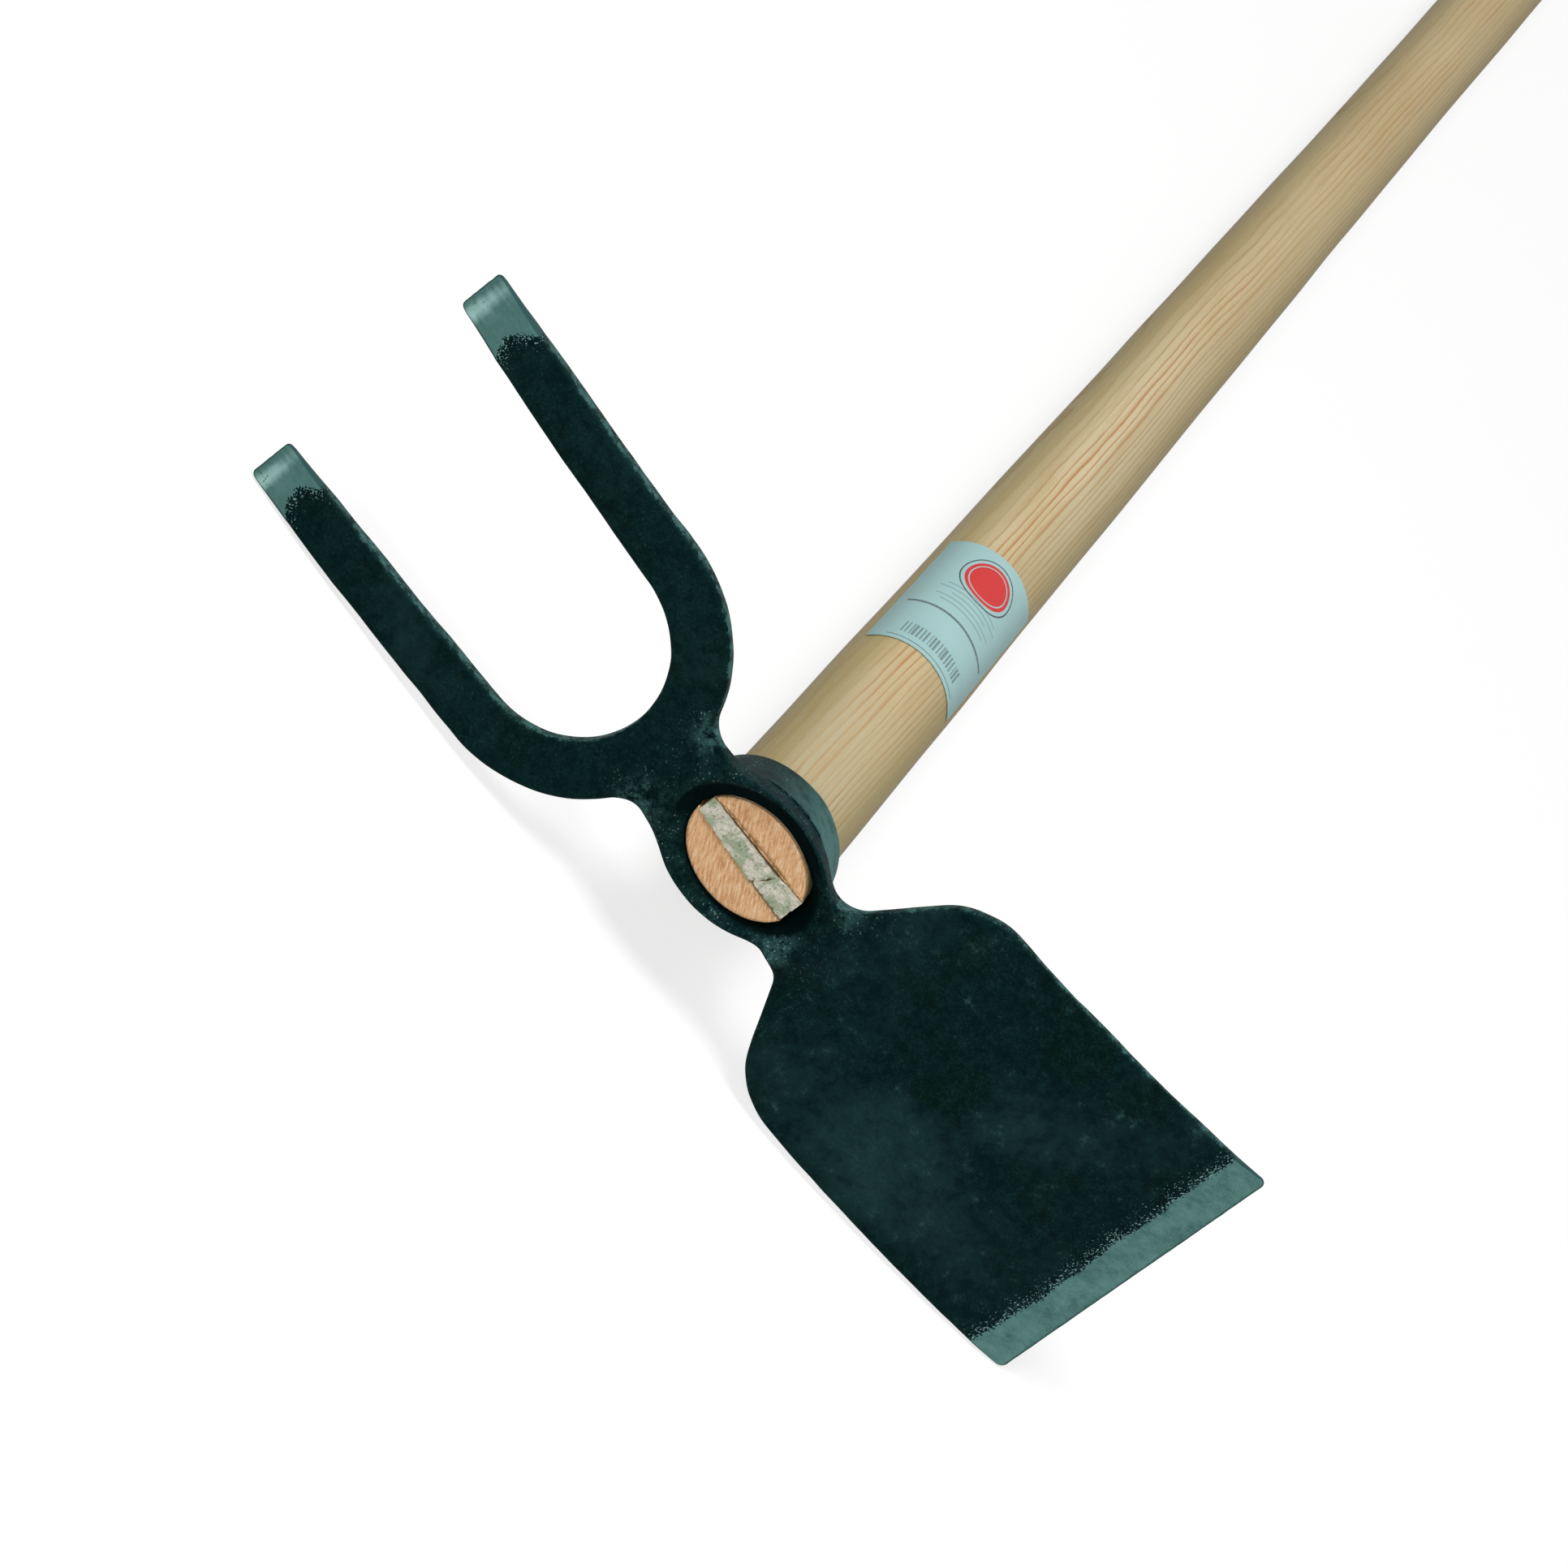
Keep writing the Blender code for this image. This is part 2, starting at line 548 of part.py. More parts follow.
def build_head():
    """One forging: dished oval eye with its collar, two necks, blade and two-tine fork.

    The head is modelled over its upper half as a front and a rear surface with the same
    outline, a strip round the plate edges, and the wall of the hole, then mirrored.
    """
    path, counts = half_outline()
    face = slice(counts[1], counts[2] + 1)
    front_round = edge_rounding(path[:, 0])
    front_round[face] = lip_rounding(path[face, 0])
    rear_round = front_round.copy()
    rear_round[face] = np.clip(REAR_LIP_SHARE * lip_ledge(path[face]), REAR_LIP_LEAST,
                               front_round[face])
    bm = bmesh.new()
    mouth, front_line = add_front(bm, closed_inset(path, front_round), counts)
    rim, rear_line = add_rear(bm, closed_inset(path, rear_round), counts)
    front_side = with_heights(path, front_line[:, 1] + front_round)
    rear_side = with_heights(path, rear_line[:, 1] - front_round)
    add_mirrored(bm, np.stack([front_line, front_side, rear_side, rear_line]))
    add_mirrored(bm, hole_wall(collar_angles(), mouth, rim))
    paint = make_material("head_green_paint", (0.010, 0.032, 0.033), 0.42, 0.25)
    return make_object("forged_head", bm, paint, 50.0)


def oval_ring(y, half_x, half_z, sides):
    turn = np.linspace(0.0, 2.0 * math.pi, sides, endpoint=False)
    return np.stack([half_x * np.cos(turn), np.full(sides, y), half_z * np.sin(turn)], 1)


def wedge_edge_lines(low_gap, high_gap):
    """The wedge's face outline as points along its two edges, widened by the gaps."""
    low = np.array([(WEDGE_LOW_X, WEDGE_LOW_Z[0]), (CRACK_X[0], WEDGE_CRACK_Z[0]),
                    (WEDGE_HIGH_X, WEDGE_HIGH_Z[0])]) - (0.0, low_gap)
    high = np.array([(WEDGE_LOW_X, WEDGE_LOW_Z[1]), (CRACK_X[1], WEDGE_CRACK_Z[1]),
                     (WEDGE_HIGH_X, WEDGE_HIGH_Z[1])]) + (0.0, high_gap)
    return low, high


def crack_x(z):
    """Where the crack's flat face lies along X at height z."""
    slant = (CRACK_X[1] - CRACK_X[0]) / (WEDGE_CRACK_Z[1] - WEDGE_CRACK_Z[0])
    return CRACK_X[0] + (z - WEDGE_CRACK_Z[0]) * slant


def thinned(edge, middle, scale, crack_corner):
    """An edge line drawn in towards the middle line; its crack corner keeps to the crack."""
    far = edge.copy()
    far[:, 1] = middle + (edge[:, 1] - middle) * scale
    if crack_corner is not None:
        shift = edge[crack_corner, 0] - crack_x(edge[crack_corner, 1])
        far[crack_corner, 0] = crack_x(far[crack_corner, 1]) + shift
    return far


def wedge_solid(bm, low, high, face_y, end_y, end_scale, crack_corner=None):
    """A prism between two edge lines, thinning with depth towards the line midway."""
    middle = (low[:, 1] + high[:, 1]) / 2.0
    outline = np.vstack([low, high[::-1]])
    far = np.vstack([thinned(low, middle, end_scale, crack_corner),
                     thinned(high, middle, end_scale, crack_corner)[::-1]])
    rings = np.array([with_heights(outline, np.full(len(outline), face_y)),
                      with_heights(far, np.full(len(far), end_y))])
    rows = add_grid(bm, rings, wrap=True)
    for row in rows:
        count = len(low)
        for i in range(count - 1):
            bm.faces.new((row[i], row[i + 1], row[2 * count - 2 - i], row[2 * count - 1 - i]))


def build_kerf_cutter():
    """The saw cut in the handle's end, wider than the wedge and the piece that has slipped."""
    low, high = wedge_edge_lines(KERF_CLEARANCE, KERF_CLEARANCE + CRACK_STEP)
    low[0] += (low[0] - low[1]) * KERF_SIDE_RUN / (CRACK_X[0] - WEDGE_LOW_X)
    high[0] += (high[0] - high[1]) * KERF_SIDE_RUN / (CRACK_X[1] - WEDGE_LOW_X)
    low[2] += (low[2] - low[1]) * KERF_SIDE_RUN / (WEDGE_HIGH_X - CRACK_X[0])
    high[2] += (high[2] - high[1]) * KERF_SIDE_RUN / (WEDGE_HIGH_X - CRACK_X[1])
    bm = bmesh.new()
    depth = WEDGE_DEPTH + KERF_BOTTOM_GAP
    wedge_solid(bm, low, high, -KERF_OVERCUT, depth, 2.0 * WEDGE_END_SCALE)
    bmesh.ops.recalc_face_normals(bm, faces=bm.faces)
    mesh = bpy.data.meshes.new("kerf_cutter")
    bm.to_mesh(mesh)
    bm.free()
    cutter = bpy.data.objects.new("kerf_cutter", mesh)
    bpy.context.collection.objects.link(cutter)
    cutter.hide_render = True
    cutter.display_type = "WIRE"
    return cutter


def build_handle(cutter):
    """Ash handle: oval and slim in the eye, tapering to a round grip with a rounded end."""
    bm = bmesh.new()
    half_x, half_z = tenon_half_sizes(0.0)
    rings = [oval_ring(0.0, half_x - TENON_CHAMFER, half_z - TENON_CHAMFER, HANDLE_SIDES)]
    grip_start = HANDLE_LENGTH - GRIP_END_ROUND
    stations = np.concatenate([[TENON_CHAMFER],
                               np.linspace(0.0, TENON_RUN, TENON_RINGS + 1)[1:],
                               np.linspace(TENON_RUN, HANDLE_TAPER_RUN, TAPER_RINGS + 1)[1:],
                               np.linspace(HANDLE_TAPER_RUN, grip_start, GRIP_RINGS + 1)[1:]])
    for y in stations:
        half_x, half_z = tenon_half_sizes(y)
        rings.append(oval_ring(y, half_x, half_z, HANDLE_SIDES))
    for turn in np.radians(GRIP_END_TURNS_DEG):
        radius = GRIP_END_FLAT + (GRIP_RADIUS - GRIP_END_FLAT) * math.cos(turn)
        y = grip_start + GRIP_END_ROUND * math.sin(turn)
        rings.append(oval_ring(y, radius, radius, HANDLE_SIDES))
    rows = add_grid(bm, rings, wrap=True)
    bm.faces.new(rows[0])
    bm.faces.new(rows[-1])
    handle = make_object("handle", bm, make_material("handle_ash", (0.56, 0.44, 0.25), 0.45))
    cut = handle.modifiers.new("kerf", "BOOLEAN")
    cut.operation = "DIFFERENCE"
    cut.solver = "EXACT"
    cut.object = cutter
    return handle


def build_wedge_piece(name, low, high, crack_corner, colour):
    bm = bmesh.new()
    wedge_solid(bm, low, high, -WEDGE_PROUD, WEDGE_DEPTH, WEDGE_END_SCALE, crack_corner)
    return make_object(name, bm, make_material(name + "_wood", colour, 0.7), 20.0)


def build_wedge():
    """The wooden wedge, cracked across: a long piece and the short one that has slipped."""
    low, high = wedge_edge_lines(0.0, 0.0)
    gap = np.array([CRACK_GAP, 0.0])
    slip = np.array([0.0, CRACK_STEP])
    moved = slip + (gap, (0.0, 0.0))
    return [build_wedge_piece("wedge", low[:2], high[:2], 1, (0.50, 0.47, 0.33)),
            build_wedge_piece("wedge_broken_end", low[1:] + moved, high[1:] + moved, 0,
                              (0.55, 0.52, 0.38))]


def build_label():
    """Paper label wrapped part of the way round the handle, at a glue line's distance."""
    half = math.radians(LABEL_WRAP_DEG) / 2.0
    middle = math.radians(LABEL_MIDDLE_DEG)
    turns = np.linspace(middle - half, middle + half, LABEL_SIDES + 1)
    shells = []
    for lift in (LABEL_SEAT, LABEL_SEAT + LABEL_THICKNESS):
        rows = []
        for y in np.linspace(LABEL_START, LABEL_START + LABEL_LENGTH, LABEL_ROWS + 1):
            half_x, half_z = tenon_half_sizes(y)
            rows.append(np.stack([(half_x + lift) * np.cos(turns), np.full_like(turns, y),
                                  (half_z + lift) * np.sin(turns)], 1))
        shells.append(np.array(rows))
    bm = bmesh.new()
    inner, outer = shells
    for shell in shells:
        add_grid(bm, shell)
    for start, finish in ((inner[0], outer[0]), (inner[-1], outer[-1]),
                          (inner[:, 0], outer[:, 0]), (inner[:, -1], outer[:, -1])):
        add_grid(bm, np.stack([start, finish]))
    return make_object("label", bm, make_material("label_paper", (0.41, 0.60, 0.60), 0.5), 60.0)


def contact_points():
    """The three places the tool lies on: blade corner, tine tip and the grip's end."""
    blade_x = BLADE_REACH - BLADE_CORNER_RADIUS
    fork_x = -FORK_REACH + TINE_CORNER_RADIUS
    return (Vector((blade_x, float(plate_rear(blade_x)), -BLADE_EDGE_HALF)),
            Vector((fork_x, float(plate_rear(fork_x)), -TINE_OUTER_HALF)),
            Vector((0.0, HANDLE_LENGTH - GRIP_END_ROUND, -GRIP_RADIUS)))


def lay_down(items):
    """Turn the tool so that its three contact points lie level, over the origin at z = 0."""
    blade, fork, grip = contact_points()
    up = (grip - blade).cross(fork - blade).normalized()
    if up.z < 0.0:
        up.negate()
    turn = up.rotation_difference(Vector((0.0, 0.0, 1.0)))
    corners = np.array([turn @ vertex.co for item in items for vertex in item.data.vertices])
    low, high = corners.min(axis=0), corners.max(axis=0)
    root = bpy.data.objects.new("hoe", None)
    bpy.context.collection.objects.link(root)
    root.matrix_world = Matrix.Translation((-(low[0] + high[0]) / 2.0, -(low[1] + high[1]) / 2.0,
                                            -low[2])) @ turn.to_matrix().to_4x4()
    return root


def main():
    clear_scene()
    cutter = build_kerf_cutter()
    pieces = [build_head(), build_handle(cutter), build_label(), *build_wedge()]
    root = lay_down(pieces)
    for item in [*pieces, cutter]:
        item.parent = root


main()
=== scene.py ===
"""Looks of the combination hoe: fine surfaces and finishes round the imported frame.

The tool's own axes are those of its solids while they are modelled: X from the fork to the
blade, Y from the wood's end in the eye along the handle, Z across the head. Every surface is
worked out in these axes, in metres, and Placement carries it into the frame.
"""

import logging
import math
from collections.abc import Callable
from dataclasses import dataclass, field
from enum import Enum

import bmesh
import bpy
import numpy as np
from mathutils import Euler, Matrix, Vector


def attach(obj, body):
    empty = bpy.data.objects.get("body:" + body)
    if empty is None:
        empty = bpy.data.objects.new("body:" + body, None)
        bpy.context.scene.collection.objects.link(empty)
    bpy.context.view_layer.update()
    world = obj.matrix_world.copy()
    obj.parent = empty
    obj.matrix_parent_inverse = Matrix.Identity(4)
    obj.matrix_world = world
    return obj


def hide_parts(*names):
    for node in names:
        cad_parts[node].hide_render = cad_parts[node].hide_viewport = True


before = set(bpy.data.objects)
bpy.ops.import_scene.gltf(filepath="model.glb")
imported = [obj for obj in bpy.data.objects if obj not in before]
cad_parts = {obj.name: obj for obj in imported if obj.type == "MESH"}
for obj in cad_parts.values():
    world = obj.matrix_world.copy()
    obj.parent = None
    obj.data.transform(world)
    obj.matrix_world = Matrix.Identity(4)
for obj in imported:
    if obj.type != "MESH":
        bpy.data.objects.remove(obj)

Array = np.ndarray
Colour = tuple[float, float, float]
Place = tuple[float, float, float, float]

LOG = logging.getLogger("combination_hoe")
BODY = "root"
MM = 0.001
MERGE = 0.000002
TINY = 1e-6


class Mask(Enum):
    """Per-point values that the surfaces carry and the finishes read."""

    BARE = "bare_mm"
    TIP = "tip_mm"
    # bright band at the tine ends: rubbed steel and a painted highlight
    POLISH = "polish"
    WEAR = "wear"
    HOLLOW = "hollow"
    COLLAR = "collar"
    GRIT = "grit"
    THIN = "thin_paint"
    # painted shade in the dish of the eye, stronger towards one side
    SOOT = "soot"
    END = "end_grain"
    SOIL = "soil"


Masks = dict[Mask, Array]


class Side(Enum):
    """The two large surfaces of the head."""

    FRONT = "front"
    REAR = "rear"


class Cheek(Enum):
    """The two halves of the wood's end, above and below the saw cut."""

    UPPER = 1.0
    LOWER = -1.0


def smooth_step(value: Array) -> Array:
    """Return 3 v^2 - 2 v^3 of a value held between 0 and 1."""
    value = np.clip(value, 0.0, 1.0)
    return value * value * (3.0 - 2.0 * value)


def smooth_max(a: Array, b: Array, width: float) -> Array:
    """Return the larger of two values, with a round passage of the given width."""
    share = np.clip(0.5 + 0.5 * (a - b) / width, 0.0, 1.0)
    return b + (a - b) * share + width * share * (1.0 - share)


def arc(centre: tuple[float, float], radius: float, start_deg: float, end_deg: float,
        steps: int) -> Array:
    """Return points at centre + radius (cos t, sin t), t going evenly between two angles.

    Args:
        centre: middle of the circle, X and Z.
        radius: its radius.
        start_deg: angle of the first point.
        end_deg: angle of the last point.
        steps: number of equal steps.

    Returns:
        Points of shape (steps + 1, 2).
    """
    angles = np.radians(np.linspace(start_deg, end_deg, steps + 1))
    return np.stack([centre[0] + radius * np.cos(angles), centre[1] + radius * np.sin(angles)], 1)


def line(start: Array, end: Array, steps: int) -> Array:
    """Return evenly spaced points from start to end."""
    return np.linspace(start, end, steps + 1)


def join_paths(*paths: Array) -> Array:
    """Chain paths, leaving out each later path's first point, which the one before holds."""
    return np.concatenate([paths[0]] + [path[1:] for path in paths[1:]])


def lift(plan: Array, heights: Array) -> Array:
    """Put heights along Y between the X and Z of a plan."""
    return np.stack([plan[..., 0], heights, plan[..., 1]], -1)


@dataclass(frozen=True)
class Ripple:
    """Smooth random unevenness, a sum of sines along random directions.

    Attributes:
        height: about how far it rises and falls.
        wavelength: typical distance between two crests.
        seed: picks the waves.
        waves: number of sines.
        lengths: shortest and longest wave, in wavelengths.
    """

    height: float
    wavelength: float
    seed: int
    waves: int = 11
    lengths: tuple[float, float] = (0.7, 1.6)

    def at(self, points: Array) -> Array:
        """Height at places of shape (..., 3).

        It is h sum(sin(2 pi p.d / w + phase)) / sqrt(waves), where each wave has its own
        direction d, length w and phase.
        """
        rng = np.random.default_rng(self.seed)
        direction = rng.normal(size=(self.waves, 3))
        direction /= np.linalg.norm(direction, axis=1)[:, None]
        lengths = self.wavelength * rng.uniform(*self.lengths, self.waves)
        phase = rng.uniform(0.0, 2.0 * math.pi, self.waves)
        turns = points @ (direction / lengths[:, None]).T * (2.0 * math.pi) + phase
        return self.height * (np.sin(turns).sum(-1) / math.sqrt(self.waves))


def interpolate(x: Array, knots: list[float], values: list[float]) -> Array:
    """Read a broken line at x; beyond its ends the last stretch runs on."""
    knots_array, values_array = np.array(knots), np.array(values)
    place = np.clip(np.searchsorted(knots_array, x) - 1, 0, len(knots) - 2)
    slope = np.diff(values_array) / np.diff(knots_array)
    return values_array[place] + (x - knots_array[place]) * slope[place]


@dataclass(frozen=True)
class Placement:
    """Where the tool's own axes lie in the frame.

    Attributes:
        turn: rotation from the tool's axes to the frame's, 3 by 3.
        origin: place of the middle of the wood's end, in metres.
    """

    turn: Array
    origin: Array

    def to_frame(self, points: Array) -> Array:
        """Carry points of shape (n, 3) from the tool's axes into the frame's."""
        return points @ self.turn.T + self.origin

    @staticmethod
    def from_contacts(contacts: Array, handle_points: Array) -> "Placement":
        """Work out the placement from what the tool lies on and where its handle is.

        Args:
            contacts: blade corner, tine tip and grip end in the tool's axes, 3 by 3.
            handle_points: the handle's corners in the frame, shape (n, 3).

        Returns:
            The placement that lays the three contacts level under the handle's real place.
        """
        up = Vector(np.cross(contacts[2] - contacts[0], contacts[1] - contacts[0])).normalized()
        if up.z < 0.0:
            up.negate()
        turn = np.array(up.rotation_difference(Vector((0.0, 0.0, 1.0))).to_matrix())
        own = handle_points @ turn
        low, high = own.min(axis=0), own.max(axis=0)
        middle = np.array([(low[0] + high[0]) / 2.0, low[1], (low[2] + high[2]) / 2.0])
        return Placement(turn, turn @ middle)


class Shell:
    """One closed surface, gathered from grids of points that share their border points."""

    def __init__(self, *masks: Mask) -> None:
        """Start an empty shell whose points carry the given masks."""
        self.points: list[Array] = []
        self.quads: list[Array] = []
        self.values: dict[Mask, list[Array]] = {mask: [] for mask in masks}
        self.layout: list[Array] = []
        self.size = 0

    def add(self, grid: Array, wrap: bool = False, layout: Array | None = None,
            values: dict[Mask, Array | float] | None = None) -> None:
        """Add a grid of points as quads.

        Args:
            grid: points of shape (rows, columns, 3).
            wrap: join the last column to the first.
            layout: flat coordinates of shape (rows, columns, 2) for a pattern.
            values: masks over the grid; one left out is 0.
        """
        rows, columns = grid.shape[:2]
        index = np.arange(rows * columns).reshape(rows, columns) + self.size
        if wrap:
            index = np.hstack([index, index[:, :1]])
        quads = np.stack([index[:-1, :-1], index[:-1, 1:], index[1:, 1:], index[1:, :-1]], -1)
        self.quads.append(quads.reshape(-1, 4))
        self.points.append(grid.reshape(-1, 3))
        flat = np.zeros((rows, columns, 2)) if layout is None else layout
        self.layout.append(flat.reshape(-1, 2))
        for mask, parts in self.values.items():
            value = (values or {}).get(mask, 0.0)
            parts.append(np.broadcast_to(value, (rows, columns)).reshape(-1).astype(np.float32))
        self.size += rows * columns

    def to_mesh(self, name: str) -> bpy.types.Mesh:
        """Return the mesh, its border points merged and its faces looking outwards."""
        mesh = bpy.data.meshes.new(name)
        mesh.from_pydata(np.concatenate(self.points), [], np.concatenate(self.quads).tolist())
        for mask, parts in self.values.items():
            layer = mesh.attributes.new(mask.value, "FLOAT", "POINT")
            layer.data.foreach_set("value", np.concatenate(parts))
        layer = mesh.attributes.new("layout", "FLOAT2", "POINT")
        layer.data.foreach_set("vector", np.concatenate(self.layout).astype(np.float32).ravel())
        bm = bmesh.new()
        bm.from_mesh(mesh)
        bmesh.ops.remove_doubles(bm, verts=bm.verts, dist=MERGE)
        bmesh.ops.recalc_face_normals(bm, faces=bm.faces)
        bm.to_mesh(mesh)
        bm.free()
        return mesh


def read_floats(data: bpy.types.bpy_prop_collection, key: str, width: int) -> Array:
    """Read one property of every element into an array of shape (n, width)."""
    values = np.empty(len(data) * width, np.float32)
    data.foreach_get(key, values)
    return values.reshape(-1, width).astype(float)


def new_object(name: str, data: bpy.types.ID) -> bpy.types.Object:
    """Make an object that shows the data, and add it to the scene."""
    item = bpy.data.objects.new(name, data)
    bpy.context.scene.collection.objects.link(item)
    return item


class Workshop:
    """Turns shells into pieces of the frame and reports them."""

    def __init__(self, placement: Placement) -> None:
        """Remember where the tool lies."""
        self.placement = placement

    def make(self, name: str, shell: Shell, material: bpy.types.Material,
             replaced: str, relief: Callable[[Array, Masks], Array],
             sharp_deg: float = 60.0) -> None:
        """Build a piece: merge its shell, press its relief in, place and dress it.

        Args:
            name: the piece's name.
            shell: its surface in the tool's axes.
            material: its finish.
            replaced: the frame's node that it stands for.
            relief: gives each point's height along its normal from its place and masks.
            sharp_deg: edges that turn more than this are shaded sharp.
        """
        mesh = shell.to_mesh(name)
        points = read_floats(mesh.vertices, "co", 3)
        normals = read_floats(mesh.vertex_normals, "vector", 3)
        masks = {mask: read_floats(mesh.attributes[mask.value].data, "value", 1)[:, 0]
                 for mask in shell.values}
        points += normals * relief(points, masks)[:, None]
        mesh.vertices.foreach_set("co", self.placement.to_frame(points).astype(np.float32).ravel())
        mesh.shade_smooth()
        mesh.set_sharp_from_angle(angle=math.radians(sharp_deg))
        mesh.update()
        mesh.materials.append(material)
        item = new_object(name, mesh)
        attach(item, BODY)
        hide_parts(replaced)
        LOG.info("%s: %d faces, for %s", name, len(mesh.polygons), replaced)


@dataclass(frozen=True)
class WedgeLines:
    """Edge lines of the wedge on the wood's end, the crack across it and the saw cut round it.

    Attributes:
        low_x, high_x: the wedge's ends towards the fork and towards the blade.
        crack: where the crack meets the lower and the upper edge.
        low_z, high_z: heights of the two edges at the fork end, the crack and the blade end.
        crack_step: how far the broken end has slipped upwards.
        lower_gap, upper_gap: room between the wedge and the walls of the saw cut.
        proud: how far the wedge stands out of the wood's end.
        end_scale: thickness at the hidden end, of that at the face.
        overcut: how far above the wood's end the saw cut's taper starts.
    """

    low_x: float = -0.0190
    high_x: float = 0.0188
    crack: tuple[float, float] = (0.0056, 0.0092)
    low_z: tuple[float, float, float] = (-0.0011, -0.0031, -0.0038)
    high_z: tuple[float, float, float] = (0.0050, 0.0044, 0.0047)
    crack_gap: float = 0.0004
    crack_step: float = 0.0006
    lower_gap: float = 0.0001
    upper_gap: float = 0.0002
    depth: float = 0.024
    proud: float = 0.0004
    end_scale: float = 0.25
    bottom_gap: float = 0.0015
    overcut: float = 0.0010

    def low(self, x: Array) -> Array:
        """Height of the wedge's lower edge at x."""
        return interpolate(x, [self.low_x, self.crack[0], self.high_x], list(self.low_z))

    def high(self, x: Array) -> Array:
        """Height of the wedge's upper edge at x."""
        return interpolate(x, [self.low_x, self.crack[1], self.high_x], list(self.high_z))

    def crack_x(self, z: Array) -> Array:
        """Where the crack lies along X at height z: a straight slanting line."""
        slant = (self.crack[1] - self.crack[0]) / (self.high_z[1] - self.low_z[1])
        return self.crack[0] + (z - self.low_z[1]) * slant

    @property
    def kerf_depth(self) -> float:
        """Depth of the saw cut."""
        return self.depth + self.bottom_gap

    def kerf(self, x: Array, y: float, cheek: Cheek) -> Array:
        """Height of one wall of the saw cut at x and depth y.

        Each wall lies beside the wedge by its gap and draws in towards the line midway. The
        upper gap widens from the fork end to the crack, by as much as the broken end slipped.
        """
        low = self.low(x) - self.lower_gap
        opened = np.clip((x - self.low_x) / (self.crack[0] - self.low_x), 0.0, 1.0)
        high = self.high(x) + self.upper_gap + self.crack_step * opened
        floor_scale = 2.0 * self.end_scale
        share = (y + self.overcut) / (self.kerf_depth + self.overcut)
        half = (high - low) / 2.0 * (1.0 - (1.0 - floor_scale) * share)
        return (low + high) / 2.0 + cheek.value * half


@dataclass(frozen=True)
class HandleForm:
    """Section of the handle along its length: oval in the eye, round at the grip."""

    length: float = 1.300
    grip_radius: float = 0.0152
    half_x: float = 0.0197
    half_z: float = 0.0167
    taper_run: float = 0.800
    taper_power: float = 1.15
    tenon_squeeze: float = 0.0016
    tenon_run: float = 0.024
    end_round: float = 0.0090
    end_flat: float = 0.0080

    def half_sizes(self, y: Array | float) -> tuple[Array, Array]:
        """Half sizes of the oval, X and Z, at distance y from the end in the eye."""
        share = np.clip(1.0 - y / self.taper_run, 0.0, 1.0) ** self.taper_power
        squeeze = self.tenon_squeeze * np.clip(1.0 - y / self.tenon_run, 0.0, 1.0) ** 2
        half_x = self.grip_radius + (self.half_x - self.grip_radius) * share
        half_z = self.grip_radius + (self.half_z - self.grip_radius) * share - squeeze
        return half_x, half_z


